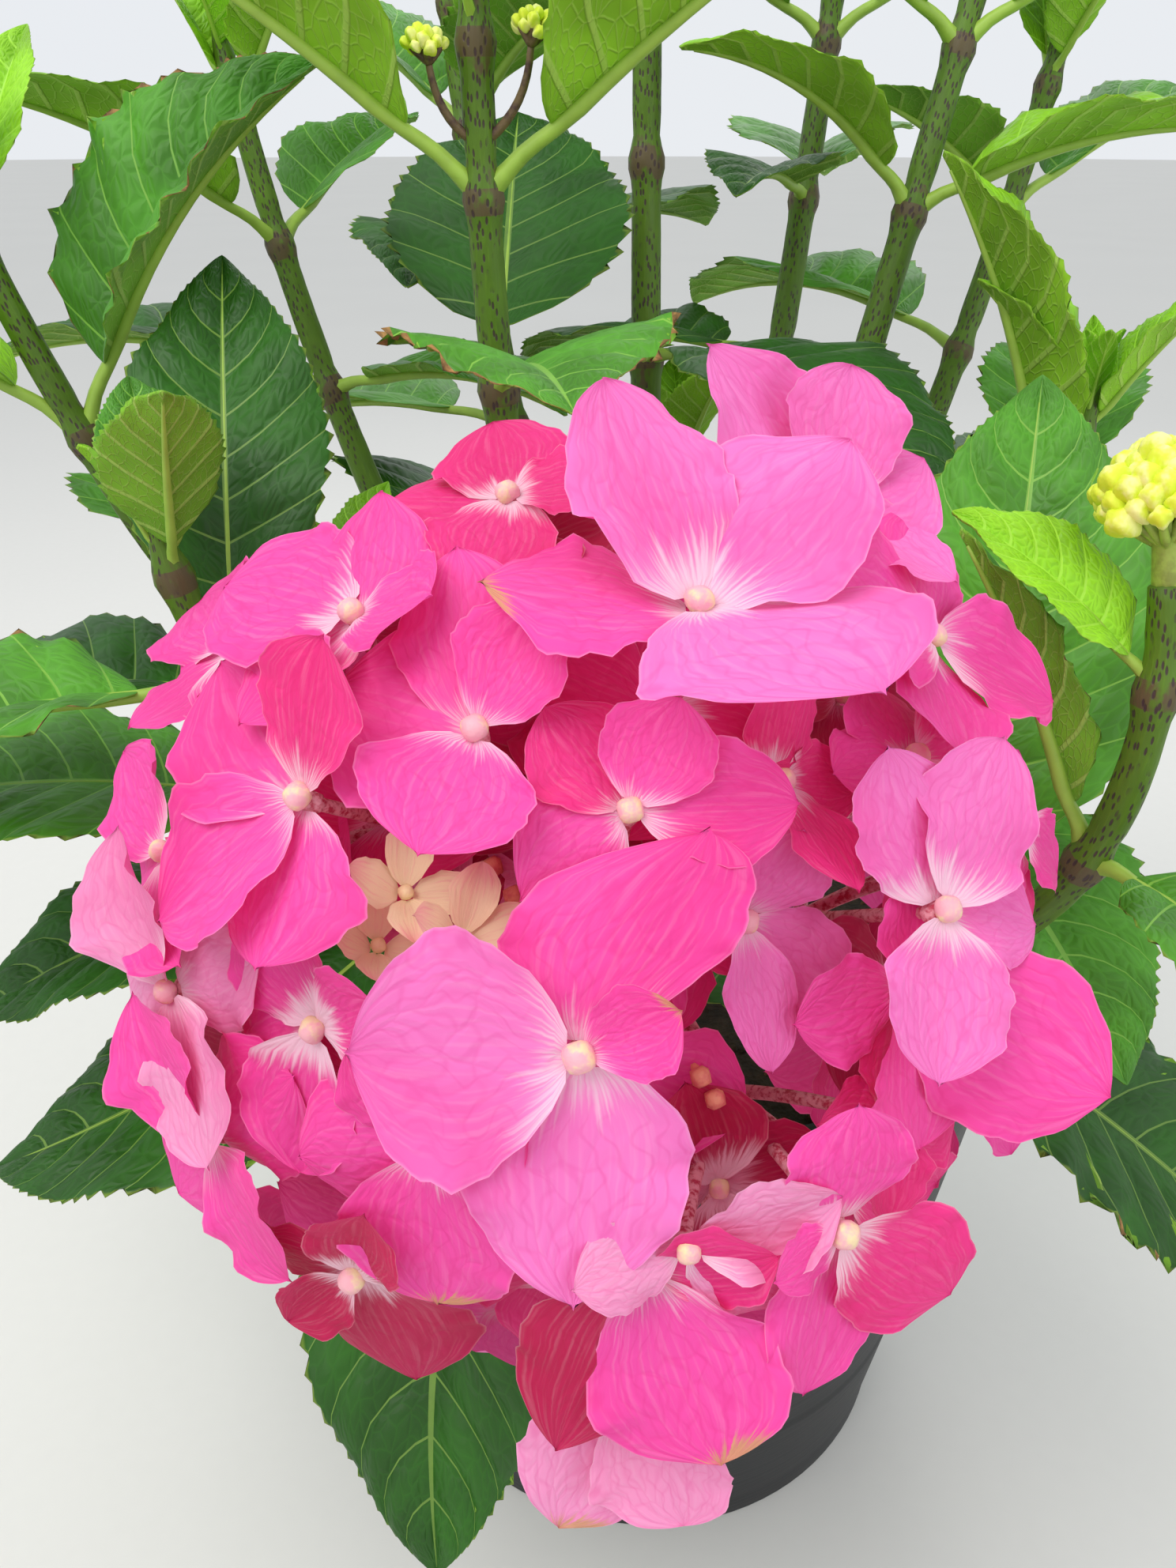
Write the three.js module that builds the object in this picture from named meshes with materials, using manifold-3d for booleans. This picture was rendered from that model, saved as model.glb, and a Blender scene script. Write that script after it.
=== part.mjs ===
// A potted garden hydrangea: a plain black nursery pot filled with compost, a woody crown,
// green shoots with opposite leaves, one open mophead on the shoot that leans out over the
// front of the pot, and an unopened flower bud on the shoot at its right.
// Millimetres, +Z up, the front of the plant towards -Y. The origin is the middle of the pot's
// flat underside.
import * as THREE from 'three';
import { mergeVertices } from 'three/addons/utils/BufferGeometryUtils.js';
import Module from 'manifold-3d';

const wasm = await Module();
wasm.setup();

// The pot and what fills it
const POT = {
  height: 190, rimRadius: 109, footRadius: 84, wall: 2, lipDrop: 14, lipOut: 4, floor: 3,
  drainRadius: 6, drainRing: 66, drains: 6, drainSides: 12, sides: 36,
};
const SOIL_TOP = 168;
const SOIL_DIP = 3;
const SOIL_LEVEL_SHARE = 0.7;
const GAP = 0.3;

// The crown, and the arms of wood that carry the shoots
const CROWN = {
  footRadius: 19, neckRadius: 12, height: 22, forkRadius: 8, forkHeight: 178, armLength: 30, armThicker: 0.4,
  sides: 12,
};

// Every shoot is one curve from the fork of the crown, past a bend, to its tip. Its joints are
// where leaf pairs stand, measured down from the tip, and each pair is turned a quarter from the
// one above. A leaf in places reaches for a point; any other follows the rule for its joint.
const STEM_FOOT_RADIUS = 5;
const STEM_TIP_RADIUS = 3.1;
const STEM_SIDES = 8;
const TWIG_SIDES = 6;
const STEM_POINT = 8;
const MASS_BELOW_JOINT = 12;
const SHOOTS = [
  {
    name: 'front', bend: [-8, -85, 245], tip: [-17, -138, 268], joints: [62, 100], turn: 250, stops: 20,
    places: {
      '0a': { reach: [-52, -172, 126], droop: 44, swerve: 70, roll: 12, fold: 14, broad: 0.9 },
      '1a': { reach: [50, -134, 220], droop: 30, roll: -12, fold: 12 },
    },
  },
  {
    name: 'centre', bend: [-45, -42, 270], tip: [-42, -41, 440], joints: [28, 56, 95, 140, 188], turn: 90,
    places: {
      '1a': { reach: [-134, -56, 446], droop: 22, fold: 38 },
      '1b': { reach: [48, -58, 446], droop: 22, fold: 38 },
      '2a': { reach: [-38, 40, 400], droop: 16, fold: 12, broad: 1.15 },
      '2b': { reach: [-22, -108, 354], droop: 44, fold: 18, broad: 1.5 },
    },
  },
  {
    name: 'right', bend: [88, -148, 232], tip: [77, -127, 331], joints: [20, 58, 98, 134], turn: 184, size: 0.9,
    stops: 4,
    places: {
      '0a': { reach: [42, -118, 340], droop: 30, roll: -28, fold: 24, broad: 0.8 },
      '0b': { reach: [128, -130, 338], droop: 34, fold: 24 },
      '1a': { reach: [47, -108, 334], droop: 20, roll: 40, fold: 42, broad: 0.5 },
      '1b': { reach: [100, -180, 262], droop: 60, fold: 16 },
      '2a': { reach: [78, -48, 350], droop: 14, fold: 10, broad: 0.95 },
      '3a': { reach: [146, -132, 158], droop: 26, fold: 12 },
    },
  },
  {
    name: 'left_front', bend: [-90, -95, 240], tip: [-104, -92, 335], joints: [16, 44, 84, 122], turn: 120,
    size: 0.92,
    places: {
      '1a': { reach: [-190, -118, 274], droop: 50, fold: 16 },
      '1b': { reach: [-101, -28, 372], droop: 20, fold: 14, broad: 0.85 },
      '2a': { reach: [-196, -92, 262], droop: 40, fold: 10 },
      '3a': { reach: [-152, -122, 193], droop: 14, swerve: -70, fold: 8, broad: 1.15 },
    },
  },
  {
    name: 'left', bend: [-120, -22, 235], tip: [-160, -32, 398], joints: [24, 70, 112, 152], turn: 80,
    places: {
      '1a': { reach: [-78, -14, 410], droop: 40, roll: 28, fold: 38 },
      '1b': { reach: [-226, -50, 372], droop: 50, fold: 26 },
    },
  },
  {
    name: 'right_back', bend: [45, 8, 300], tip: [90, 62, 470], joints: [26, 60, 101, 146, 196], turn: 90,
    places: {
      '2a': { reach: [2, 24, 414], droop: 60, fold: 22 },
      '2b': { reach: [146, 22, 396], droop: 44, fold: 26 },
    },
  },
  {
    name: 'right_side', bend: [95, 0, 225], tip: [106, -8, 344], joints: [18, 40, 82, 122], turn: 170, size: 0.9,
    places: {
      '1a': { reach: [64, 4, 392], droop: 24, fold: 40 },
    },
  },
  { name: 'back', bend: [42, 85, 300], tip: [58, 125, 480], joints: [26, 64, 108, 156, 206], turn: 90 },
  { name: 'middle', bend: [-4, 34, 300], tip: [-6, 44, 496], joints: [26, 64, 108, 156, 206], turn: 10 },
  {
    name: 'back_left', bend: [-48, 84, 290], tip: [-64, 118, 452], joints: [24, 60, 102, 148, 196], turn: 40,
  },
  { name: 'left_back', bend: [-92, 58, 262], tip: [-122, 72, 424], joints: [24, 60, 102, 148], turn: 160 },
  { name: 'back_right', bend: [88, 80, 262], tip: [122, 104, 430], joints: [24, 60, 102, 148], turn: 120 },
  { name: 'low_back', bend: [8, 60, 232], tip: [12, 100, 312], joints: [20, 54, 92], turn: 100, size: 0.9 },
  { name: 'low_right', bend: [68, 26, 222], tip: [102, 40, 292], joints: [18, 50, 86], turn: 40, size: 0.9 },
  { name: 'low_left', bend: [-62, 4, 222], tip: [-96, 6, 290], joints: [18, 50, 86], turn: 70, size: 0.9 },
];

// The rule for a leaf by its joint, from the tip down: its length with the stalk, the rise of its
// stalk and how far it curves over
const LEAF_RULE = [
  { length: 52, rise: 66, droop: 24, fold: 30 },
  { length: 92, rise: 44, droop: 40, fold: 24 },
  { length: 122, rise: 26, droop: 48, fold: 18 },
  { length: 134, rise: 14, droop: 50, fold: 14 },
  { length: 138, rise: 4, droop: 46, fold: 12 },
];
const STALK_SHARE = 0.18;
const LEAF_BREADTH = 0.66;
const BLADE_SHAPE = { along: 0.78, fullness: 0.85 };
const LEAF_THICK = 1 / 64;
const STALK = { radius: 1.9, slimness: 40, taper: 0.8 };
const LEAF_STATIONS = [0.2, 0.45, 0.74];
const JITTER = { azimuth: 14, droop: 6, length: 0.1 };
// Where a leaf has no room it is tried again, turned by so much and cut to such a share
const TRIES = [
  [0, 1], [20, 1], [-20, 1], [0, 0.8], [36, 0.8], [-36, 0.8], [0, 0.62], [24, 0.62], [-24, 0.62],
];
const FIRST_SEED = 101;
const SEED_STEP = 17;
const LEAF_CLEARANCE = 9;
const STEM_CLEARANCE = 12;
const POT_CLEARANCE = 6;

// The mophead: its middle, the way it faces, and how far its florets stand from that middle
const HEAD = {
  middle: [-17, -163, 287], faceRise: 34.2, across: 72, tall: 82, deep: 50, lean: 0.8,
  coreAcross: 40, coreTall: 44, coreDeep: 24, coreBack: 8, roomAcross: 96, roomTall: 100, roomDeep: 78,
};
// A floret: how far across and up the face of the head it stands, how far it is sunk, its turn,
// the length of its sepals, and an extra lean across and up
const FLORETS = [
  [11, 39, 0, 12, 27, 0.0, 0.55], [32, 59, 6, 50, 25, 0.1, 0.0], [-14, 58, 4, 80, 22, 0.0, 0.1],
  [-16, 50, 12, 30, 21, -0.2, 0.1], [-34, 40, 2, 20, 25, -0.2, 0.3], [-17, 23, 2, 35, 23, 0.1, 0.1],
  [-39, 15, 0, 10, 25, -0.1, 0.1], [2, 13, 4, 5, 21, 0.1, 0.0], [7, 27, 13, 45, 22, 0.0, 0.0],
  [22, 18, 12, 70, 20, 0.5, 0.0], [42, 1, 2, 15, 24, 0.1, 0.1], [39, -9, 10, 40, 27, 0.2, -0.3],
  [42, 22, 12, 60, 22, 0.2, 0.3], [17, 0, 14, 25, 21, 0.3, -0.3], [-4, -16, 0, 34, 30, 0.0, 0.0],
  [-38, -14, 8, 75, 23, -0.2, -0.2], [-23, -28, 5, 60, 25, -0.1, -0.2], [28, -38, 0, 40, 26, 0.1, -0.1],
  [38, -27, 14, 10, 24, 0.3, 0.0], [7, -49, 2, 46, 28, 0.0, -0.5], [8, -70, 2, 15, 22, 0.0, -0.2],
  [-34, -47, 8, 25, 25, -0.1, -0.4], [-66, 10, 8, 40, 22, -0.4, 0.0], [-60, 44, 8, 60, 22, -0.2, 0.2],
  [-62, -10, 6, 10, 22, -0.3, -0.2], [46, 40, 8, 80, 23, 0.3, 0.1], [-56, -31, 8, 30, 22, -0.3, -0.2],
  [-22, 2, 24, 15, 12, 0.0, 0.0], [62, 14, 14, 20, 22, 0.3, 0.0], [60, -22, 14, 55, 22, 0.4, -0.2],
];
// Rings of florets round the edge and the back, where none of those stands nearer than spacing
const FLORET_RINGS = [
  { count: 12, across: 61, tall: 66, back: 16, behind: 0.25, sepal: 20 },
  { count: 8, across: 50, tall: 54, back: 36, behind: 0.9, sepal: 21 },
];
const RING_SPIN = 37;
const FLORET_SPACING = 27;
const FLORET_CUP = 0.16;
// The rim of one sepal: turn from its middle and share of its length, from the notch before it
const FLORET_RIM = [[-45, 0.5], [-19, 1], [19, 1]];
const FLORET_TOP = 0.6;
const FLORET_DEPTH = 5;
const PEDICEL = { radius: 1.3, sides: 3, inward: 0.62 };

// The unopened bud: a ball of florets in bud on a short stalk
const BUD = { core: 9, bumps: 16, bump: 3.6, stalk: 9, squash: 0.8, lowest: -0.45 };
const GOLDEN_ANGLE = Math.PI * (3 - Math.sqrt(5));

const COLOURS = {
  pot: [0x17181a, 0.45], soil: [0x33261c, 0.95], crown: [0x6b5236, 0.85], stem: [0x6f9440, 0.55],
  foliage: [0x3f8a2c, 0.5], bloom: [0xdf4f96, 0.55], bud: [0xc8d653, 0.6],
};

const radians = THREE.MathUtils.degToRad;
const lerp = THREE.MathUtils.lerp;
const vector = (p) => new THREE.Vector3(...p);

const spread = (draw) => 2 * draw - 1;

// A small repeatable source of numbers from 0 to 1
function draws(seed) {
  let state = seed >>> 0;
  return () => {
    state = (Math.imul(state, 1664525) + 1013904223) >>> 0;
    return state / 4294967296;
  };
}

const MERGE = 1e-4;

// A closed skin over a row of rings of points; a ring of one point is a tip
function skin(rings) {
  const points = rings.flat();
  const starts = [0];
  for (const ring of rings) starts.push(starts[starts.length - 1] + ring.length);
  const faces = [];
  for (let r = 0; r + 1 < rings.length; r++) {
    const [low, high, a, b] = [rings[r], rings[r + 1], starts[r], starts[r + 1]];
    const n = Math.max(low.length, high.length);
    for (let i = 0; i < n; i++) {
      const j = (i + 1) % n;
      if (high.length === 1) faces.push(a + i, a + j, b);
      else if (low.length === 1) faces.push(a, b + j, b + i);
      else faces.push(a + i, a + j, b + j, a + i, b + j, b + i);
    }
  }
  const [first, last] = [rings[0], rings[rings.length - 1]];
  for (let i = 1; i + 1 < first.length; i++) faces.push(0, i + 1, i);
  const end = starts[rings.length - 1];
  for (let i = 1; i + 1 < last.length; i++) faces.push(end, end + i, end + i + 1);
  const geometry = new THREE.BufferGeometry();
  geometry.setFromPoints(points);
  geometry.setIndex(faces);
  return geometry;
}

// A three.js geometry as a solid that can be joined and cut, turned right side out
function solid(geometry) {
  const bare = geometry.clone();
  bare.deleteAttribute('normal');
  bare.deleteAttribute('uv');
  const merged = mergeVertices(bare, MERGE);
  const vertProperties = merged.attributes.position.array;
  const triVerts = new Uint32Array(merged.index.array);
  const made = new wasm.Manifold(new wasm.Mesh({ numProp: 3, vertProperties, triVerts }));
  if (made.volume() > 0) return made;
  triVerts.reverse();
  return new wasm.Manifold(new wasm.Mesh({ numProp: 3, vertProperties, triVerts }));
}

// The largest connected body of a joined solid, as a geometry
function geometryOf(joined) {
  const bodies = joined.decompose().sort((a, b) => b.volume() - a.volume());
  const mesh = bodies[0].getMesh();
  const geometry = new THREE.BufferGeometry();
  geometry.setAttribute('position', new THREE.BufferAttribute(new Float32Array(mesh.vertProperties), 3));
  geometry.setIndex(new THREE.BufferAttribute(new Uint32Array(mesh.triVerts), 1));
  return geometry;
}

const plant = new THREE.Group();
plant.name = 'potted_hydrangea';

function add(name, geometry, [color, roughness]) {
  const material = new THREE.MeshStandardMaterial({ color, roughness, metalness: 0 });
  const mesh = new THREE.Mesh(geometry, material);
  mesh.name = name;
  plant.add(mesh);
}

// A place moved along each direction by its distance
function offset(place, ...moves) {
  const moved = place.clone();
  for (const [direction, distance] of moves) moved.addScaledVector(direction, distance);
  return moved;
}

// The direction at an azimuth and a rise, both in radians
function pointing(azimuth, rise) {
  const level = Math.cos(rise);
  return new THREE.Vector3(level * Math.cos(azimuth), level * Math.sin(azimuth), Math.sin(rise));
}

// A ring of points round a place on a curve, square to its direction
function ringAt(place, direction, radius, sides) {
  const side = new THREE.Vector3().crossVectors(direction, new THREE.Vector3(0.13, 1, 0.21)).normalize();
  const up = new THREE.Vector3().crossVectors(side, direction).normalize();
  return Array.from({ length: sides }, (_, i) => {
    const a = (2 * Math.PI * i) / sides;
    return offset(place, [side, radius * Math.cos(a)], [up, radius * Math.sin(a)]);
  });
}

const LIMB_STEP = 26;

// Part of a shoot's curve as a tapering limb, from one length along it to another
function limb(shoot, from, to, sides, thicker = 0) {
  const steps = Math.max(2, Math.round((to - from) / LIMB_STEP));
  const rings = [];
  for (let i = 0; i <= steps; i++) {
    const along = lerp(from, to, i / steps) / shoot.length;
    rings.push(ringAt(shoot.curve.getPointAt(along), shoot.curve.getTangentAt(along),
      lerp(STEM_FOOT_RADIUS, STEM_TIP_RADIUS, along) + thicker, sides));
  }
  return rings;
}

// The midrib of a leaf: places from its joint to its tip, with the direction at each.
// The direction turns down by droop and sideways by swerve along the way.
const RIB_STEPS = 24;
function midrib(leaf) {
  const direction = (s) => pointing(
    leaf.azimuth + radians(leaf.swerve) * (s - 0.5), leaf.rise - radians(leaf.droop) * s);
  const places = [leaf.joint.clone()];
  for (let i = 0; i < RIB_STEPS; i++) {
    const step = direction((i + 0.5) / RIB_STEPS).multiplyScalar(leaf.length / RIB_STEPS);
    places.push(places[i].clone().add(step));
  }
  const miss = leaf.reach ? leaf.reach.clone().sub(places[RIB_STEPS]) : new THREE.Vector3();
  return (s) => {
    const i = Math.min(RIB_STEPS - 1, Math.floor(s * RIB_STEPS));
    const place = places[i].clone().lerp(places[i + 1], s * RIB_STEPS - i).addScaledVector(miss, s);
    const d = direction(s);
    const azimuth = Math.atan2(d.y, d.x);
    const level = new THREE.Vector3(-Math.sin(azimuth), Math.cos(azimuth), 0);
    const square = new THREE.Vector3().crossVectors(d, level);
    const roll = radians(leaf.roll);
    const origin = new THREE.Vector3();
    const side = offset(origin, [level, Math.cos(roll)], [square, Math.sin(roll)]);
    const up = offset(origin, [square, Math.cos(roll)], [level, -Math.sin(roll)]);
    return { place, side, up };
  };
}

// Half the breadth of a blade at a share of its length, widest at two fifths of the way
function halfBreadth(leaf, t) {
  const widest = 0.5 * leaf.length * (1 - STALK_SHARE) * LEAF_BREADTH * leaf.broad;
  return widest * Math.sin(Math.PI * t ** BLADE_SHAPE.along) ** BLADE_SHAPE.fullness;
}

// A point on a blade, at a share of its length and from -1 to 1 across
function bladePoint(leaf, rib, t, across) {
  const { place, side, up } = rib(STALK_SHARE + (1 - STALK_SHARE) * t);
  const half = halfBreadth(leaf, t) * Math.abs(across);
  const fold = radians(leaf.fold);
  return offset(place, [side, Math.sign(across) * half * Math.cos(fold)], [up, half * Math.sin(fold)]);
}

const LEVEL_LEAF = { swerve: 0, roll: 0, broad: 1 };

// A leaf that reaches for a point from its joint
function reachingLeaf(joint, place) {
  const reach = vector(place.reach);
  const chord = reach.clone().sub(joint);
  const half = radians(place.droop) / 2;
  return {
    ...LEVEL_LEAF, ...place, joint, reach,
    azimuth: Math.atan2(chord.y, chord.x),
    rise: Math.atan2(chord.z, Math.hypot(chord.x, chord.y)) + half,
    length: (chord.length() * half) / Math.sin(half),
  };
}

const SAMPLES = { along: [0.12, 0.27, 0.42, 0.57, 0.72, 0.86, 1], across: [-1, -0.5, 0, 0.5, 1] };

// The places on a leaf that are tested against its neighbours
function samples(leaf) {
  const rib = midrib(leaf);
  const found = [];
  for (const t of SAMPLES.along) {
    for (const across of SAMPLES.across) found.push(bladePoint(leaf, rib, t, across));
  }
  return found;
}

// The head's own directions: across, up its face, and out of its face
const faceRise = radians(HEAD.faceRise);
const head = {
  middle: vector(HEAD.middle),
  across: new THREE.Vector3(1, 0, 0),
  up: new THREE.Vector3(0, Math.sin(faceRise), Math.cos(faceRise)),
  out: new THREE.Vector3(0, -Math.cos(faceRise), Math.sin(faceRise)),
};
const onHead = (u, v, w) => offset(head.middle, [head.across, u], [head.up, v], [head.out, w]);

function insideHead(point) {
  const from = point.clone().sub(head.middle);
  const [u, v, w] = [from.dot(head.across), from.dot(head.up), from.dot(head.out)];
  return (u / HEAD.roomAcross) ** 2 + (v / HEAD.roomTall) ** 2 + (w / HEAD.roomDeep) ** 2 < 1;
}

function hitsPot(point) {
  const radius = Math.hypot(point.x, point.y);
  const outer = POT.rimRadius + POT.lipOut + POT_CLEARANCE;
  return point.z < POT_CLEARANCE || (radius < outer && point.z < POT.height + POT_CLEARANCE);
}

const STATION_STEP = 9;

// Sets out every shoot's curve, with the places on it that leaves of the others keep clear of
for (const shoot of SHOOTS) {
  const azimuth = Math.atan2(shoot.bend[1], shoot.bend[0]);
  const fork = pointing(azimuth, 0).multiplyScalar(CROWN.forkRadius).setZ(CROWN.forkHeight);
  shoot.curve = new THREE.QuadraticBezierCurve3(fork, vector(shoot.bend), vector(shoot.tip));
  shoot.curve.arcLengthDivisions = 400;
  shoot.length = shoot.curve.getLength();
  shoot.leaves = [];
  shoot.stations = [];
  for (let along = CROWN.armLength; along < shoot.length; along += STATION_STEP) {
    shoot.stations.push(shoot.curve.getPointAt(along / shoot.length));
  }
}

const jointPlace = (shoot, k) => shoot.curve.getPointAt(1 - shoot.joints[k] / shoot.length);

// True where a leaf keeps clear of the pot, the head and everything on the other shoots
function hasRoom(shoot, points) {
  const others = SHOOTS.filter((other) => other !== shoot);
  const stems = others.flatMap((other) => other.stations);
  const blades = others.flatMap((other) => other.leaves.flatMap((leaf) => leaf.samples));
  const near = (places, point, clearance) => places.some((p) => p.distanceTo(point) < clearance);
  return points.every((point) => !hitsPot(point) && !insideHead(point)
    && !near(stems, point, STEM_CLEARANCE) && !near(blades, point, LEAF_CLEARANCE));
}

// The leaves that reach for a place come first, and the rest fill the room that is left
for (const shoot of SHOOTS) {
  for (const [key, place] of Object.entries(shoot.places ?? {})) {
    const leaf = reachingLeaf(jointPlace(shoot, Number(key[0])), place);
    leaf.samples = samples(leaf);
    shoot.leaves.push(leaf);
  }
}

// The leaf that the rule gives on one side of a joint, turned and shortened by a try
function ruledLeaf(shoot, k, half, [turnDraw, lengthDraw, droopDraw], [turned, share]) {
  const rule = LEAF_RULE[k];
  const azimuth = shoot.turn + 90 * k + 180 * half + spread(turnDraw) * JITTER.azimuth + turned;
  return {
    ...LEVEL_LEAF, joint: jointPlace(shoot, k), azimuth: radians(azimuth), rise: radians(rule.rise),
    droop: rule.droop + spread(droopDraw) * JITTER.droop, fold: rule.fold,
    length: rule.length * (shoot.size ?? 1) * share * (1 + spread(lengthDraw) * JITTER.length),
  };
}

SHOOTS.forEach((shoot, number) => {
  const next = draws(FIRST_SEED + SEED_STEP * number);
  for (let k = 0; k < shoot.joints.length; k++) {
    for (const half of [0, 1]) {
      const drawn = [next(), next(), next()];
      if (shoot.places?.[`${k}${'ab'[half]}`]) continue;
      for (const attempt of TRIES) {
        const leaf = ruledLeaf(shoot, k, half, drawn, attempt);
        leaf.samples = samples(leaf);
        if (!hasRoom(shoot, leaf.samples)) continue;
        shoot.leaves.push(leaf);
        break;
      }
    }
  }
});

// A leaf as one thin solid: its stalk, sunk to the middle of the stem, and its folded blade
function leafSolid(leaf) {
  const rib = midrib(leaf);
  const thick = leaf.length * LEAF_THICK;
  const stalk = (s, radius) => {
    const { place, side, up } = rib(s);
    return [[side, -radius], [up, radius], [side, radius], [up, -radius]].map((move) => offset(place, move));
  };
  const section = (t) => {
    const { place, up } = rib(STALK_SHARE + (1 - STALK_SHARE) * t);
    return [
      bladePoint(leaf, rib, t, -1), offset(place, [up, thick / 2]),
      bladePoint(leaf, rib, t, 1), offset(place, [up, -thick]),
    ];
  };
  const slim = Math.min(STALK.radius, leaf.length / STALK.slimness);
  const foot = [stalk(0, slim), stalk(STALK_SHARE, slim * STALK.taper)];
  return solid(skin([...foot, ...LEAF_STATIONS.map(section), [rib(1).place]]));
}

// The inside of the pot's wall at a height
function potInside(z) {
  const { height, rimRadius, footRadius, wall, floor } = POT;
  return lerp(footRadius - wall, rimRadius, (z - floor) / (height - floor));
}

// A solid of revolution from its profile of radius and height
function turned(profile, sides) {
  const points = profile.map(([radius, z]) => new THREE.Vector2(radius, z));
  return solid(new THREE.LatheGeometry(points, sides).rotateX(Math.PI / 2));
}

function potGeometry() {
  const { height, rimRadius, footRadius, wall, lipDrop, lipOut, floor } = POT;
  const shoulder = height - lipDrop;
  let body = turned([
    [0, 0], [footRadius, 0], [potInside(shoulder) + wall, shoulder], [rimRadius + lipOut, shoulder],
    [rimRadius + lipOut, height], [rimRadius, height], [footRadius - wall, floor], [0, floor],
  ], POT.sides);
  for (let i = 0; i < POT.drains; i++) {
    const a = (2 * Math.PI * i) / POT.drains;
    const drill = new THREE.CylinderGeometry(POT.drainRadius, POT.drainRadius, 3 * floor, POT.drainSides);
    drill.rotateX(Math.PI / 2).translate(POT.drainRing * Math.cos(a), POT.drainRing * Math.sin(a), floor / 2);
    body = body.subtract(solid(drill));
  }
  return geometryOf(body);
}

// The compost lies on the pot's floor and stops short of its wall by the gap
function soilGeometry() {
  const low = POT.floor + GAP;
  const edge = SOIL_TOP - SOIL_DIP;
  return geometryOf(turned([
    [0, low], [potInside(low) - GAP, low], [potInside(edge) - GAP, edge],
    [potInside(edge) * SOIL_LEVEL_SHARE, SOIL_TOP], [0, SOIL_TOP],
  ], POT.sides));
}

// The woody crown: a flared stump cut flat at the compost, and an arm for each shoot
function crownGeometry() {
  const low = SOIL_TOP + GAP;
  let body = turned([
    [0, low], [CROWN.footRadius, low], [CROWN.neckRadius + 2, low + 5], [CROWN.neckRadius, low + 12],
    [CROWN.neckRadius - 3, low + CROWN.height], [0, low + CROWN.height + 2],
  ], CROWN.sides);
  for (const shoot of SHOOTS) {
    body = body.add(solid(skin(limb(shoot, 0, CROWN.armLength, STEM_SIDES, CROWN.armThicker))));
  }
  return geometryOf(body);
}

add('pot', potGeometry(), COLOURS.pot);
add('compost', soilGeometry(), COLOURS.soil);
add('crown', crownGeometry(), COLOURS.crown);

// A shoot's bare foot is its stem. Above its lowest joint it is one mass with its leaves, which
// ends in a point, or short of the tip where a flower head or bud goes on from it.
for (const shoot of SHOOTS) {
  const massStart = shoot.length - Math.max(...shoot.joints) - MASS_BELOW_JOINT;
  const stem = skin(limb(shoot, CROWN.armLength + GAP, massStart, STEM_SIDES));
  add(`stem_${shoot.name}`, geometryOf(solid(stem)), COLOURS.stem);
  const rings = limb(shoot, massStart + GAP, shoot.length - (shoot.stops ?? STEM_POINT), TWIG_SIDES);
  if (!shoot.stops) rings.push([shoot.curve.getPointAt(1)]);
  const mass = wasm.Manifold.union([solid(skin(rings)), ...shoot.leaves.map(leafSolid)]);
  add(`foliage_${shoot.name}`, geometryOf(mass), COLOURS.foliage);
}

// A floret: a shallow four-lobed dish whose back narrows to its stalk
function floretSolid(centre, normal, spin, sepal) {
  const side = new THREE.Vector3().crossVectors(head.up, normal).normalize();
  const up = new THREE.Vector3().crossVectors(normal, side);
  const rim = [];
  for (let lobe = 0; lobe < 4; lobe++) {
    for (const [turn, share] of FLORET_RIM) {
      const a = radians(spin + 90 * lobe + turn);
      const lift = FLORET_CUP * sepal * share * share;
      const reach = sepal * share;
      rim.push(offset(centre, [side, reach * Math.cos(a)], [up, reach * Math.sin(a)], [normal, lift]));
    }
  }
  return solid(skin([[offset(centre, [normal, FLORET_TOP])], rim, [offset(centre, [normal, -FLORET_DEPTH])]]));
}

// Where every floret stands, which way it faces, its turn and its size
function floretPlaces() {
  const places = FLORETS.map(([u, v, sunk, spin, sepal, leanAcross, leanUp]) => {
    const room = Math.max(0, 1 - (u / HEAD.across) ** 2 - (v / HEAD.tall) ** 2);
    const normal = offset(head.out, [head.across, (HEAD.lean * u) / HEAD.across + leanAcross],
      [head.up, (HEAD.lean * v) / HEAD.tall + leanUp]).normalize();
    return { centre: onHead(u, v, HEAD.deep * Math.sqrt(room) - sunk), normal, spin, sepal };
  });
  for (const ring of FLORET_RINGS) {
    for (let i = 0; i < ring.count; i++) {
      const a = (2 * Math.PI * (i + 0.5)) / ring.count;
      const centre = onHead(ring.across * Math.cos(a), ring.tall * Math.sin(a), -ring.back);
      if (places.some((p) => p.centre.distanceTo(centre) < FLORET_SPACING)) continue;
      const outward = offset(new THREE.Vector3(), [head.across, Math.cos(a)], [head.up, Math.sin(a)]);
      const normal = offset(outward, [head.out, -ring.behind]).normalize();
      places.push({ centre, normal, spin: RING_SPIN * i, sepal: ring.sepal });
    }
  }
  return places;
}

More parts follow.
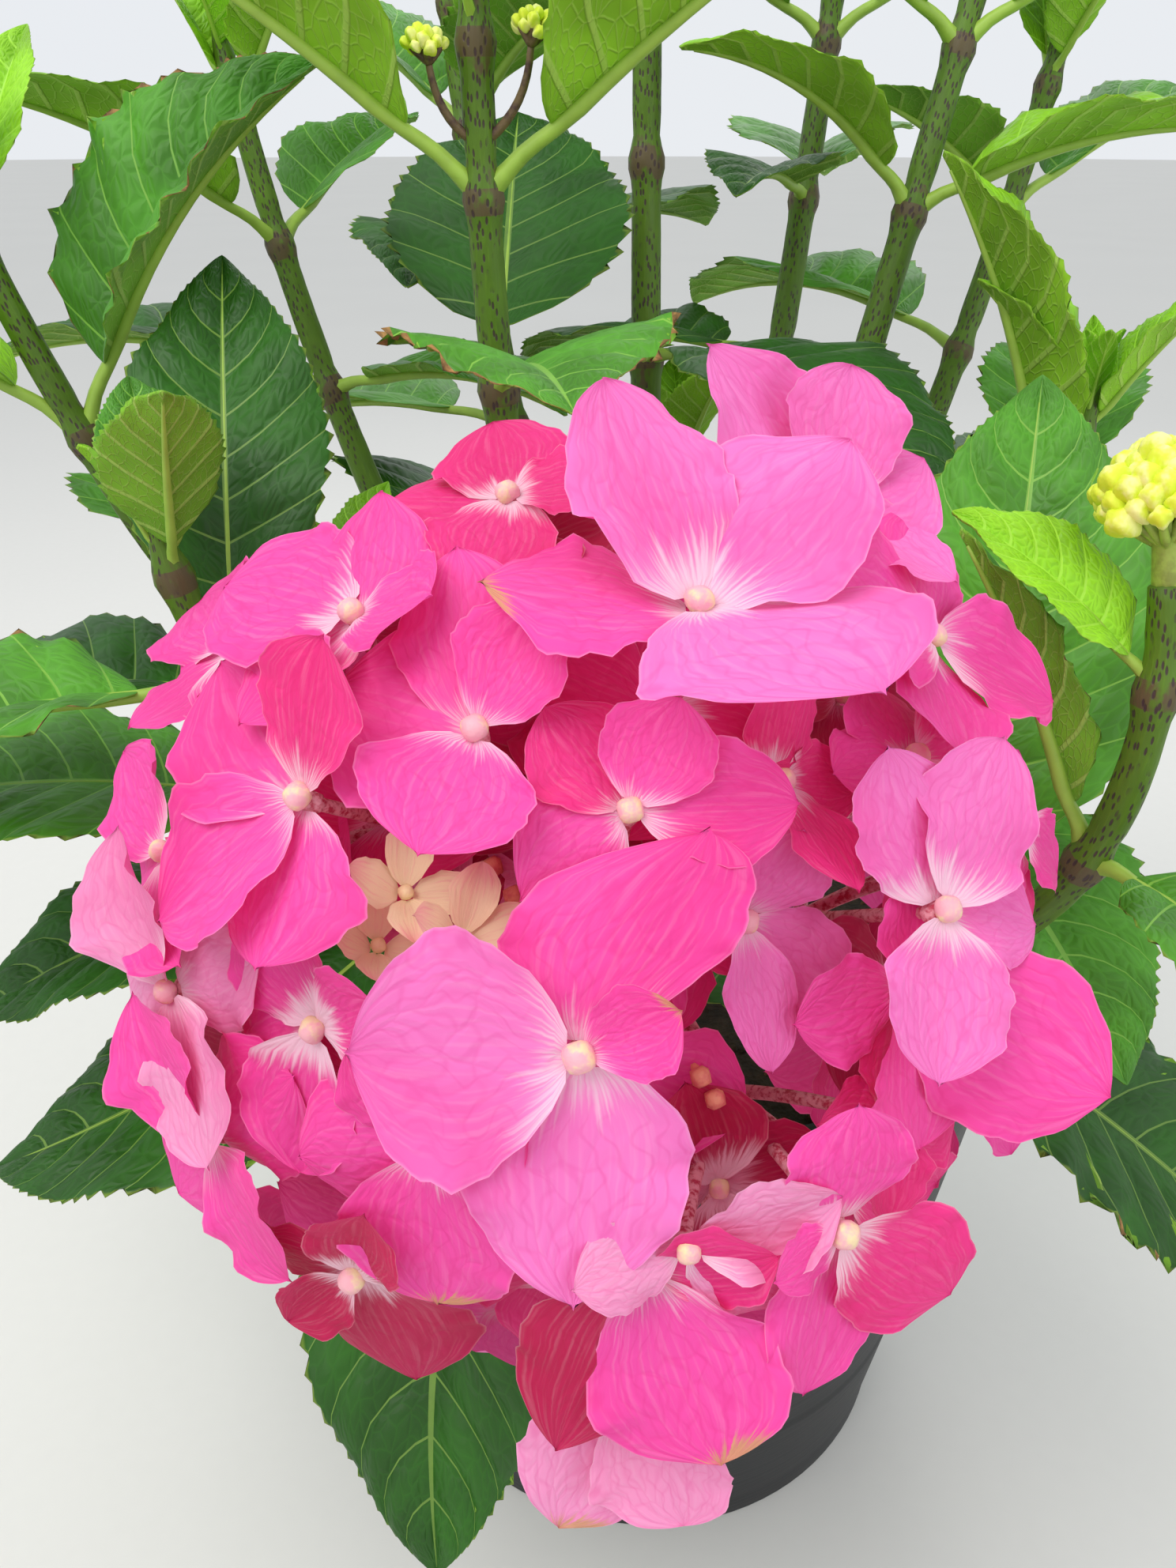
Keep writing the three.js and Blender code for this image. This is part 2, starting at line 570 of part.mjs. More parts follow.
// The mophead: its florets on their stalks round a core, with the end of the front shoot
function bloomGeometry() {
  const shoot = SHOOTS.find((s) => s.name === 'front');
  const core = new THREE.IcosahedronGeometry(1, 1);
  core.applyMatrix4(new THREE.Matrix4().makeBasis(
    head.across.clone().multiplyScalar(HEAD.coreAcross), head.up.clone().multiplyScalar(HEAD.coreTall),
    head.out.clone().multiplyScalar(HEAD.coreDeep)));
  const middle = onHead(0, 0, -HEAD.coreBack);
  core.translate(middle.x, middle.y, middle.z);
  const stalk = skin(limb(shoot, shoot.length - shoot.stops + GAP, shoot.length, TWIG_SIDES));
  const pieces = [solid(core), solid(stalk)];
  for (const { centre, normal, spin, sepal } of floretPlaces()) {
    const back = offset(centre, [normal, -FLORET_DEPTH / 2]);
    const root = back.clone().lerp(middle, PEDICEL.inward);
    const away = back.clone().sub(root).normalize();
    const rings = [root, back].map((place) => ringAt(place, away, PEDICEL.radius, PEDICEL.sides));
    pieces.push(floretSolid(centre, normal, spin, sepal), solid(skin(rings)));
  }
  return geometryOf(wasm.Manifold.union(pieces));
}
add('bloom', bloomGeometry(), COLOURS.bloom);

// The unopened flower head: a ball of buds on the end of the right shoot
function budGeometry() {
  const shoot = SHOOTS.find((s) => s.name === 'right');
  const foot = shoot.curve.getPointAt(1 - (shoot.stops - GAP) / shoot.length);
  const upward = shoot.curve.getTangentAt(1);
  const ball = offset(foot, [upward, BUD.stalk + BUD.core]);
  const pieces = [
    solid(skin([foot, ball].map((place) => ringAt(place, upward, STEM_TIP_RADIUS, TWIG_SIDES)))),
    solid(new THREE.IcosahedronGeometry(BUD.core, 1).translate(ball.x, ball.y, ball.z)),
  ];
  for (let i = 0; i < BUD.bumps; i++) {
    const z = lerp(1, BUD.lowest, (i + 0.5) / BUD.bumps);
    const out = pointing(i * GOLDEN_ANGLE, 0).multiplyScalar(BUD.core * Math.sqrt(1 - z * z));
    const place = ball.clone().add(out.setZ(z * BUD.core * BUD.squash));
    pieces.push(solid(new THREE.OctahedronGeometry(BUD.bump).translate(place.x, place.y, place.z)));
  }
  return geometryOf(wasm.Manifold.union(pieces));
}
add('flower_bud', budGeometry(), COLOURS.bud);

export default plant;
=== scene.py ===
"""A potted garden hydrangea: one open pink mophead that leans over the front of its pot,
green shoots with opposite, toothed leaves, and unopened flower buds.

The shapes are worked out in millimetres, +Z up, with the front of the plant towards -Y, and
are turned into metres as each piece is made.
"""
import functools
import math

import bpy
import numpy as np
from bpy.props import FloatProperty, FloatVectorProperty, IntProperty, PointerProperty
from bpy.types import Operator, Panel, PropertyGroup, Scene
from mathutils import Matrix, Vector


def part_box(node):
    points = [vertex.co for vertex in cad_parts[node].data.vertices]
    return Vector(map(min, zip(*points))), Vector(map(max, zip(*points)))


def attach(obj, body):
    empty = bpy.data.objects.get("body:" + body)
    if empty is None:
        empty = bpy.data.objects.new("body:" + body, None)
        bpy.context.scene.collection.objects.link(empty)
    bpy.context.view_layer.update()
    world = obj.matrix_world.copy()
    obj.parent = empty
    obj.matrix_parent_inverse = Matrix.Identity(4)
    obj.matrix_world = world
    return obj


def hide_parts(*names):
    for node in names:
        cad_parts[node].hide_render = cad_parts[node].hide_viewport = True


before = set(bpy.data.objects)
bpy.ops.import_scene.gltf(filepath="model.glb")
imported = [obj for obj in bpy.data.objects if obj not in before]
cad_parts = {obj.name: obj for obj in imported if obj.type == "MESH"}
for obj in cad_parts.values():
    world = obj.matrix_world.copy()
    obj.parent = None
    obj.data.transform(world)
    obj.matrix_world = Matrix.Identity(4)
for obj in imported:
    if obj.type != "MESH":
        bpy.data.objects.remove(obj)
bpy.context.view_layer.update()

bl_info = {
    "name": "Potted hydrangea",
    "version": (1, 0, 0),
    "blender": (4, 5, 0),
    "location": "View3D > Sidebar > Hydrangea",
    "description": "Builds a potted hydrangea in bloom, piece by piece",
    "category": "Add Mesh",
}

MM = 0.001
UP = np.array([0.0, 0.0, 1.0])
GOLDEN_ANGLE = math.pi * (3 - math.sqrt(5))
# What each operator's random draws start from. Shoots and leaves add the number of their shoot.
SEEDS = dict(compost=7, crown=19, mophead=41, buds=61, shoots=300, leaves=500)


def millimetres(node):
    """The lowest and highest corners of a node of the frame."""
    return [np.array(corner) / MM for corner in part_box(node)]


# The pot, the compost in it and the crown of wood
POT = dict(wall=2, lip_drop=14, lip_out=4, floor=3, rounding=1.1, drain_radius=6, drain_ring=66, drains=6)
POT_SEGMENTS = 96
# Shallow steps moulded in the pot's wall: the height of each, and how far it stands out there
POT_STEPS = [(9, 0.0), (44, 0.7), (47, 0.0), (128, 0.0), (131, 0.7)]
SOIL_DIP = 3
CRUMB_SIZES = (0.9, 2.3)
CHIP_SHARE = 0.3
CROWN = dict(foot=19, neck=12, height=22, fork_radius=8, fork_height=178, arm=30, thicker=0.6)

STEM_FOOT_RADIUS = 5
STEM_TIP_RADIUS = 3.1
# Every shoot is one curve from the fork of the crown, past a bend, to its tip. Its joints are
# measured down from the tip, and each leaf pair is turned a quarter from the one above. A shoot
# that flowers has no bud and no young leaves at its tip.
SHOOTS = [
    dict(name="front", bend=(-8, -85, 245), tip=(-17, -138, 268), joints=(62, 100), turn=250, flowers=True,
         places={
             "0a": dict(reach=(-52, -172, 126), droop=44, swerve=70, roll=12, fold=14, broad=0.9),
             "1a": dict(reach=(50, -134, 220), droop=30, roll=-12, fold=12),
         }),
    dict(name="centre", bend=(-45, -42, 270), tip=(-42, -41, 440), joints=(28, 56, 95, 140, 188), turn=90,
         places={
             "1a": dict(reach=(-134, -56, 446), droop=22, fold=38),
             "1b": dict(reach=(48, -58, 446), droop=22, fold=38),
             "2a": dict(reach=(-38, 40, 400), droop=16, fold=12, broad=1.15),
             "2b": dict(reach=(-22, -108, 354), droop=44, fold=18, broad=1.5),
         }),
    dict(name="right", bend=(88, -148, 232), tip=(77, -127, 331), joints=(20, 58, 98, 134), turn=184,
         size=0.9, flowers=True,
         places={
             "0a": dict(reach=(42, -118, 340), droop=30, roll=-28, fold=24, broad=0.8),
             "0b": dict(reach=(128, -130, 338), droop=34, fold=24),
             "1a": dict(reach=(47, -108, 334), droop=20, roll=40, fold=42, broad=0.5),
             "1b": dict(reach=(100, -180, 262), droop=60, fold=16),
             "2a": dict(reach=(78, -48, 350), droop=14, fold=10, broad=0.95),
             "3a": dict(reach=(146, -132, 158), droop=26, fold=12),
         }),
    dict(name="left_front", bend=(-90, -95, 240), tip=(-104, -92, 335), joints=(16, 44, 84, 122),
         turn=120, size=0.92,
         places={
             "1a": dict(reach=(-190, -118, 274), droop=50, fold=16),
             "1b": dict(reach=(-101, -28, 372), droop=20, fold=14, broad=0.85),
             "2a": dict(reach=(-196, -92, 262), droop=40, fold=10),
             "3a": dict(reach=(-152, -122, 193), droop=14, swerve=-70, fold=8, broad=1.15),
         }),
    dict(name="left", bend=(-120, -22, 235), tip=(-160, -32, 398), joints=(24, 70, 112, 152), turn=80,
         places={
             "1a": dict(reach=(-78, -14, 410), droop=40, roll=28, fold=38),
             "1b": dict(reach=(-226, -50, 372), droop=50, fold=26),
         }),
    dict(name="right_back", bend=(45, 8, 300), tip=(90, 62, 470), joints=(26, 60, 101, 146, 196), turn=90,
         places={
             "2a": dict(reach=(2, 24, 414), droop=60, fold=22),
             "2b": dict(reach=(146, 22, 396), droop=44, fold=26),
         }),
    dict(name="right_side", bend=(95, 0, 225), tip=(106, -8, 344), joints=(18, 40, 82, 122), turn=170,
         size=0.9, places={"1a": dict(reach=(64, 4, 392), droop=24, fold=40)}),
    dict(name="back", bend=(42, 85, 300), tip=(58, 125, 480), joints=(26, 64, 108, 156, 206), turn=90),
    dict(name="middle", bend=(-4, 34, 300), tip=(-6, 44, 496), joints=(26, 64, 108, 156, 206), turn=10),
    dict(name="back_left", bend=(-48, 84, 290), tip=(-64, 118, 452), joints=(24, 60, 102, 148, 196),
         turn=40),
    dict(name="left_back", bend=(-92, 58, 262), tip=(-122, 72, 424), joints=(24, 60, 102, 148), turn=160),
    dict(name="back_right", bend=(88, 80, 262), tip=(122, 104, 430), joints=(24, 60, 102, 148), turn=120),
    dict(name="low_back", bend=(8, 60, 232), tip=(12, 100, 312), joints=(20, 54, 92), turn=100, size=0.9),
    dict(name="low_right", bend=(68, 26, 222), tip=(102, 40, 292), joints=(18, 50, 86), turn=40, size=0.9),
    dict(name="low_left", bend=(-62, 4, 222), tip=(-96, 6, 290), joints=(18, 50, 86), turn=70, size=0.9),
]

# The rule for a leaf by its joint, from the tip down: length, rise of its stalk, droop and fold
LEAF_RULE = [(52, 66, 24, 30), (92, 44, 40, 24), (122, 26, 48, 18), (134, 14, 50, 14), (138, 4, 46, 12)]
STALK_SHARE = 0.18
LEAF_BREADTH = 0.66
RIB_STEPS = 24
JITTER = dict(azimuth=14, droop=6, length=0.1)
# Where a leaf has no room it is tried again, turned by so much and cut to such a share
TRIES = [(0, 1), (20, 1), (-20, 1), (0, 0.8), (36, 0.8), (-36, 0.8), (0, 0.62), (24, 0.62), (-24, 0.62)]
FIRST_SEED = 101
SEED_STEP = 17
LEAF_CLEARANCE = 9
STEM_CLEARANCE = 12
POT_CLEARANCE = 6
STATION_STEP = 9
SAMPLE_ALONG = np.array([0.12, 0.27, 0.42, 0.57, 0.72, 0.86, 1.0])
SAMPLE_ACROSS = np.array([-1, -0.5, 0, 0.5, 1])

# The young leaves above the highest joint: how far below the tip, length, rise and fold
YOUNG_LEAVES = [(13, 30, 70, 48), (5, 17, 80, 56)]
# Leaves whose margins have dried, by shoot and place, and how much of the margin has
DRY_LEAVES = {"centre": {"2b": 1.0}, "right": {"1a": 0.56, "3a": 0.56}, "left": {"1a": 0.56},
              "left_front": {"1a": 0.5}}

# The mophead: its middle, the way it faces, and how far its florets stand from that middle
HEAD = dict(middle=(-17, -163, 287), face_rise=34.2, across=72, tall=82, deep=50, lean=0.8,
            room=(96, 100, 78))
RINGS = [dict(count=12, across=61, tall=66, back=16, behind=0.25, sepal=20),
         dict(count=8, across=50, tall=54, back=36, behind=0.9, sepal=21)]
RING_SPIN = 37
FLORET_SPACING = 27
# The shaded layer of florets behind the others, how far it is sunk, and its sepals' length
INNER = dict(count=26, across=56, tall=64, sunk=24, sepal=16.5)
# Hollows in the head, without shaded florets: how far across and up, and the radius of each
HOLLOWS = [(18, -18, 14), (-22, 3, 12), (25, 12, 8)]
# The rays that carry the florets: where they start, where the middle one ends, the ring in which
# the others end, and how thick a ray and a floret's own stalk are at their two ends
RAYS = dict(start=(0, 4, -24), middle=(0, 0, 16), count=7, across=30, tall=34, depth=2,
            thick=(2.3, 1.5), stalk=(1.15, 0.95))
# In the hollow at the left: small cream florets by place and sepal, and peach buds by place
SMALL_FLORETS = [(-27, 3, 35, 9), (-19, -3, 38, 9.5), (-31, -4, 32, 8)]
SMALL_BUDS = [(-10, 6, 30), (-13, 3, 31), (-8, 3, 29), (-16, 7, 29), (12, -21, 30), (14, -24, 29),
              (-28, 9, 24), (-14, 0, 28)]
# Clusters of unopened flower buds: the one on the right shoot, and two small ones on long stalks
# from a joint of the centre shoot, so far below its tip
BUD_CLUSTER = dict(count=74, reach=10.5, size=2.3)
SMALL_CLUSTER = dict(count=16, reach=3.6, size=1.25)
SMALL_CLUSTERS_BELOW = 46
SMALL_CLUSTER_STALKS = [(-9, -6, 14), (11, -7, 17)]


def linear(hexadecimal):
    """A colour written as on screen, in the linear light that the nodes take."""
    shares = [((hexadecimal >> shift) & 255) / 255 for shift in (16, 8, 0)]
    return tuple(s / 12.92 if s <= 0.04045 else ((s + 0.055) / 1.055) ** 2.4 for s in shares)


def unit(vectors):
    """The vectors, each with a length of 1."""
    return vectors / np.linalg.norm(vectors, axis=-1, keepdims=True)


def draws(seed):
    """A small repeatable source of numbers from 0 to 1."""
    state = seed
    while True:
        state = (state * 1664525 + 1013904223) % 4294967296
        yield state / 4294967296


def even_turns(count):
    """Angles evenly round a circle, in radians."""
    return 2 * np.pi * np.arange(count) / count


def spread(draw):
    """A draw from 0 to 1, as a number from -1 to 1."""
    return 2 * draw - 1


def pointing(azimuth, rise):
    """The direction at an azimuth and a rise, both in radians."""
    level = np.cos(rise)
    return np.stack([level * np.cos(azimuth), level * np.sin(azimuth), np.sin(rise)], -1)


class Shoot:
    """One shoot: its curve, the lengths along it, and the leaves that it bears."""

    def __init__(self, number, name, bend, tip, joints, turn, size=1.0, flowers=False, places=None):
        self.number, self.name, self.joints, self.turn = number, name, joints, turn
        self.size, self.flowers, self.places = size, flowers, places or {}
        azimuth = math.atan2(bend[1], bend[0])
        fork = CROWN["fork_radius"] * pointing(azimuth, 0.0) + CROWN["fork_height"] * UP
        self.control = np.array([fork, bend, tip], float)
        self.shares = np.linspace(0, 1, 401)
        chords = np.linalg.norm(np.diff(self.bezier(self.shares), axis=0), axis=1)
        self.run = np.concatenate([[0], np.cumsum(chords)])
        self.length = self.run[-1]
        self.leaves = []
        self.stations = self.place(np.arange(CROWN["arm"], self.length, STATION_STEP))

    def bezier(self, share):
        t = np.asarray(share, float)[..., None]
        fork, bend, tip = self.control
        return (1 - t) ** 2 * fork + 2 * t * (1 - t) * bend + t ** 2 * tip

    def place(self, along):
        return self.bezier(np.interp(along, self.run, self.shares))

    def direction(self, along):
        t = np.interp(along, self.run, self.shares)[..., None]
        fork, bend, tip = self.control
        return unit((1 - t) * (bend - fork) + t * (tip - bend))

    def joint(self, k):
        return self.place(self.length - self.joints[k])


def leaf_reaching(joint, k, reach, droop, swerve=0, roll=0, fold=0, broad=1.0):
    """A leaf that reaches for a point from its joint."""
    reach = np.array(reach, float)
    chord = reach - joint
    half = math.radians(droop) / 2
    return dict(joint=joint, level=k, reach=reach, droop=droop, swerve=swerve, roll=roll,
                fold=fold, broad=broad, azimuth=math.atan2(chord[1], chord[0]),
                rise=math.atan2(chord[2], math.hypot(chord[0], chord[1])) + half,
                length=np.linalg.norm(chord) * half / math.sin(half))


def leaf_ruled(shoot, k, half, drawn, turned, share):
    """The leaf that the rule gives on one side of a joint, turned and shortened by a try."""
    length, rise, droop, fold = LEAF_RULE[k]
    azimuth = shoot.turn + 90 * k + 180 * half + spread(drawn[0]) * JITTER["azimuth"] + turned
    return dict(joint=shoot.joint(k), level=k, reach=None, swerve=0, roll=0, broad=1.0, fold=fold,
                azimuth=math.radians(azimuth), rise=math.radians(rise),
                droop=droop + spread(drawn[2]) * JITTER["droop"],
                length=length * shoot.size * share * (1 + spread(drawn[1]) * JITTER["length"]))


def midrib(leaf):
    """The midrib of a leaf, as a function of the share of its length: place, side and up."""
    def heading(s):
        azimuth = leaf["azimuth"] + math.radians(leaf["swerve"]) * (s - 0.5)
        return pointing(azimuth, leaf["rise"] - math.radians(leaf["droop"]) * s)

    middles = (np.arange(RIB_STEPS) + 0.5) / RIB_STEPS
    steps = np.cumsum(heading(middles), axis=0) * leaf["length"] / RIB_STEPS
    places = np.vstack([leaf["joint"], leaf["joint"] + steps])
    miss = np.zeros(3) if leaf["reach"] is None else leaf["reach"] - places[-1]
    marks = np.arange(RIB_STEPS + 1) / RIB_STEPS
    roll = math.radians(leaf["roll"])

    def rib(s):
        s = np.asarray(s, float)
        place = np.stack([np.interp(s, marks, places[:, i]) for i in range(3)], -1) + miss * s[..., None]
        along = heading(s)
        azimuth = np.arctan2(along[..., 1], along[..., 0])
        level = np.stack([-np.sin(azimuth), np.cos(azimuth), np.zeros_like(azimuth)], -1)
        square = np.cross(along, level)
        side = level * math.cos(roll) + square * math.sin(roll)
        return place, side, square * math.cos(roll) - level * math.sin(roll)

    return rib


def half_breadth(leaf, t):
    """Half the breadth of a blade at a share of its length."""
    widest = 0.5 * leaf["length"] * (1 - STALK_SHARE) * LEAF_BREADTH * leaf["broad"]
    return widest * np.clip(np.sin(np.pi * np.clip(t, 0, 1) ** 0.78), 0, 1) ** 0.85


def samples(leaf):
    """The places on a leaf that are tested against its neighbours."""
    t, across = np.meshgrid(SAMPLE_ALONG, SAMPLE_ACROSS, indexing="ij")
    place, side, up = midrib(leaf)(STALK_SHARE + (1 - STALK_SHARE) * t)
    half = half_breadth(leaf, t) * np.abs(across)
    fold = math.radians(leaf["fold"])
    points = place + side * (np.sign(across) * half * math.cos(fold))[..., None]
    return (points + up * (half * math.sin(fold))[..., None]).reshape(-1, 3)


FACE_RISE = math.radians(HEAD["face_rise"])
HEAD_MIDDLE = np.array(HEAD["middle"], float)
HEAD_ACROSS = np.array([1.0, 0.0, 0.0])
HEAD_UP = np.array([0.0, math.sin(FACE_RISE), math.cos(FACE_RISE)])
HEAD_OUT = np.array([0.0, -math.cos(FACE_RISE), math.sin(FACE_RISE)])


def on_head(u, v, w):
    """A place told by how far across the head's face, up it and out of it."""
    return HEAD_MIDDLE + u * HEAD_ACROSS + v * HEAD_UP + w * HEAD_OUT


def dome(u, v):
    """How far out the face of the head stands at a place across and up."""
    return HEAD["deep"] * math.sqrt(max(0.0, 1 - (u / HEAD["across"]) ** 2 - (v / HEAD["tall"]) ** 2))


def has_room(shoot, shoots, points):
    """True where a leaf keeps clear of the pot, the head and everything on the other shoots."""
    high = millimetres("pot")[1]
    radius = np.hypot(points[:, 0], points[:, 1])
    inside_pot = (radius < high[0] + POT_CLEARANCE) & (points[:, 2] < high[2] + POT_CLEARANCE)
    from_head = (points - HEAD_MIDDLE) @ np.stack([HEAD_ACROSS, HEAD_UP, HEAD_OUT], 1)
    inside_head = ((from_head / HEAD["room"]) ** 2).sum(1) < 1
    if np.any(inside_pot | inside_head | (points[:, 2] < POT_CLEARANCE)):
        return False
    others = [other for other in shoots if other is not shoot]
    stems = np.vstack([other.stations for other in others])
    blades = [leaf["samples"] for other in others for leaf in other.leaves]
    for places, clearance in ((stems, STEM_CLEARANCE), (np.vstack(blades), LEAF_CLEARANCE)):
        if np.linalg.norm(points[:, None] - places[None], axis=2).min() < clearance:
            return False
    return True


@functools.cache
def grown_shoots():
    """Every shoot with its leaves: those that reach for a place first, then those of the rule."""
    shoots = [Shoot(number, **row) for number, row in enumerate(SHOOTS)]
    for shoot in shoots:
        for key, place in shoot.places.items():
            leaf = leaf_reaching(shoot.joint(int(key[0])), int(key[0]), **place)
            leaf.update(samples=samples(leaf), key=key)
            shoot.leaves.append(leaf)
    for shoot in shoots:
        source = draws(FIRST_SEED + SEED_STEP * shoot.number)
        for k in range(len(shoot.joints)):
            for half in (0, 1):
                drawn = [next(source) for _ in range(3)]
                key = f"{k}{'ab'[half]}"
                if key in shoot.places:
                    continue
                for turned, share in TRIES:
                    leaf = leaf_ruled(shoot, k, half, drawn, turned, share)
                    leaf.update(samples=samples(leaf), key=key)
                    if has_room(shoot, shoots, leaf["samples"]):
                        shoot.leaves.append(leaf)
                        break
    return shoots


class Skin:
    """Gathers grids of points as one mesh, with a finish for every face and a place on its map."""

    def __init__(self):
        self.points, self.faces, self.finishes, self.maps = [], [], [], []
        self.count = 0

    def spots(self, points):
        """Adds points and gives back their numbers, in the same rows and columns."""
        points = np.asarray(points, float)
        numbers = self.count + np.arange(points[..., 0].size).reshape(points.shape[:-1])
        self.points.append(points.reshape(-1, 3))
        self.count += numbers.size
        return numbers

    def cover(self, numbers, finish, chart=None, flip=False):
        """Adds the four-cornered faces between rows and columns of numbered points."""
        rows, columns = numbers.shape
        if chart is None:
            chart = np.stack(np.meshgrid(np.linspace(0, 1, rows), np.linspace(0, 1, columns),
                                         indexing="ij")[::-1], -1)
        turns = [(0, 0), (1, 0), (1, 1), (0, 1)]
        if flip:
            turns.reverse()

        def corners(grid):
            cut = [grid[i:rows - 1 + i, j:columns - 1 + j] for i, j in turns]
            return np.stack(cut, 2)

        quads = corners(numbers).reshape(-1, 4)
        self.faces.append(quads)
        self.maps.append(corners(chart).reshape(-1, 4, 2))
        self.finishes.append(np.broadcast_to(finish, (rows - 1, columns - 1)).reshape(-1))

    def fan(self, row, point, finish, flip=False, chart=(0.5, 0.5)):
        """Closes a row of numbered points with triangles to one more point."""
        tip = int(self.spots(np.asarray(point, float)[None])[0])
        ends = (row[:-1], row[1:]) if flip else (row[1:], row[:-1])
        triangles = np.stack([ends[0], ends[1], np.full(len(row) - 1, tip)], 1)
        self.faces.append(triangles)
        self.maps.append(np.broadcast_to(np.array(chart, float), (len(triangles), 3, 2)))
        self.finishes.append(np.broadcast_to(finish, len(triangles)))

    def close(self, rings, finish, first, last, chart=None, flip=False, ends=((0.5, 0.5), (0.5, 0.5))):
        """A closed skin over rings of points, with one more point in the middle of each end."""
        numbers = self.spots(rings)
        numbers = np.hstack([numbers, numbers[:, :1]])
        finish = np.reshape(finish, (-1, 1))
        self.cover(numbers, finish, chart, flip)
        self.fan(numbers[0], first, finish[0], not flip, ends[0])
        self.fan(numbers[-1], last, finish[-1], flip, ends[1])

    def tube(self, places, radii, sides, finish, bumps=None):
        """A closed tube round a row of places; its map runs round it and along it in millimetres."""
        places = np.asarray(places, float)
        radii = np.broadcast_to(radii, len(places))
        along = unit(np.gradient(places, axis=0))
        side = unit(np.cross(along, np.array([0.13, 1, 0.21])))
        up = np.cross(side, along)
        angle = even_turns(sides)[:, None]
        reach = radii[:, None] * (np.ones((len(places), sides)) if bumps is None else bumps)
        ring = side[:, None] * np.cos(angle) + up[:, None] * np.sin(angle)
        run = np.concatenate([[0], np.cumsum(np.linalg.norm(np.diff(places, axis=0), axis=1))])
        chart = np.stack(np.meshgrid(run, np.linspace(0, 1, sides + 1), indexing="ij")[::-1], -1)
        first, last = places[0] - along[0] * radii[0] * 0.3, places[-1] + along[-1] * radii[-1] * 0.6
        self.close(places[:, None] + ring * reach[..., None], finish, first, last, chart)

    def ball(self, middle, radii, axis, finish, rings=6, sides=9, ribs=0.0, lobes=4):
        """A closed ball stretched along an axis, with shallow lobes round it."""
        axis = unit(np.asarray(axis, float))
        side = unit(np.cross(axis, np.array([0.31, 0.9, 0.17])))
        up = np.cross(axis, side)
        polar = np.pi * (np.arange(1, rings) / rings)[:, None]
        angle = even_turns(sides)[None]
        reach = radii[0] * np.sin(polar) * (1 + ribs * np.cos(lobes * angle))
        level = radii[1] * np.cos(polar) * np.ones_like(angle)
        points = (middle + axis * level[..., None] + side * (reach * np.cos(angle))[..., None]
                  + up * (reach * np.sin(angle))[..., None])
        first, last = middle + axis * radii[1] * (1 - 0.5 * ribs), middle - axis * radii[1]
        self.close(points, finish, first, last, ends=((0.5, 0), (0.5, 1)))

    def mesh(self, name, finishes, smooth=True):
        """Makes the object, in metres, wearing the finishes by their numbers."""
        points = np.vstack(self.points) * MM
        sizes = np.concatenate([np.full(len(faces), faces.shape[1]) for faces in self.faces])
        corners = np.concatenate([faces.reshape(-1) for faces in self.faces])
        made = bpy.data.meshes.new(name)
        made.vertices.add(len(points))
        made.vertices.foreach_set("co", points.reshape(-1))
        made.loops.add(len(corners))
        made.loops.foreach_set("vertex_index", corners.astype(np.int32))
        made.polygons.add(len(sizes))
        starts = np.concatenate([[0], np.cumsum(sizes)[:-1]])
        made.polygons.foreach_set("loop_start", starts.astype(np.int32))
        made.polygons.foreach_set("material_index", np.concatenate(self.finishes).astype(np.int32))
        made.polygons.foreach_set("use_smooth", np.full(len(sizes), smooth))
        chart = made.uv_layers.new(name="chart")
        chart.data.foreach_set("uv", np.concatenate([m.reshape(-1) for m in self.maps]))
        for finish in finishes:
            made.materials.append(finish)
        made.update(calc_edges=True)
        made.validate()
        thing = bpy.data.objects.new(name, made)
        bpy.context.scene.collection.objects.link(thing)
        return thing


def settle(piece, slot, *nodes):
    """Rides the piece on the plant, in place of the nodes that it stands for."""
    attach(piece, "root")
    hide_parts(*nodes)


class Wire:
    """What leaves a node. Arithmetic on it adds Math nodes to the same finish."""

    def __init__(self, finish, socket):
        self.finish, self.socket = finish, socket

    def out(self, number):
        return Wire(self.finish, self.socket.node.outputs[number])

    def maths(self, operation, *values):
        return self.finish.node("ShaderNodeMath", dict(operation=operation), dict(enumerate(values)))

    def __add__(self, other):
        return self.maths("ADD", self, other)

    def __sub__(self, other):
        return self.maths("SUBTRACT", self, other)

    def __rsub__(self, other):
        return self.maths("SUBTRACT", other, self)

    def __mul__(self, other):
        return self.maths("MULTIPLY", self, other)

    def __abs__(self):
        return self.maths("ABSOLUTE", self)

    def fraction(self):
        return self.maths("FRACT", self)

    __radd__ = __add__
    __rmul__ = __mul__


# Light that comes through a sepal: how much of it, and its colour in a pink and in a cream one
SEPAL_GLOW_SHARE = 0.24
PINK_GLOW = (0.85, 0.06, 0.3)
CREAM_GLOW = (0.95, 0.8, 0.6)
# The shine of a sepal, and the colours that no setting holds
SEPAL_GLOSS = 0.28
CLAW_PALE = (0.95, 0.77, 0.86)
SEPAL_TAN = linear(0xCFA26C)
CREAM_TIP = linear(0xF59AA8)
PEACH_FRECKLES = linear(0xD9706A)
LEAF_RIM = linear(0xA9C64E)
LEAF_VEIN = linear(0xB8D060)
UNDERSIDE_VEIN = linear(0xC4DA78)
LEAF_STALK = linear(0x9CBE48)


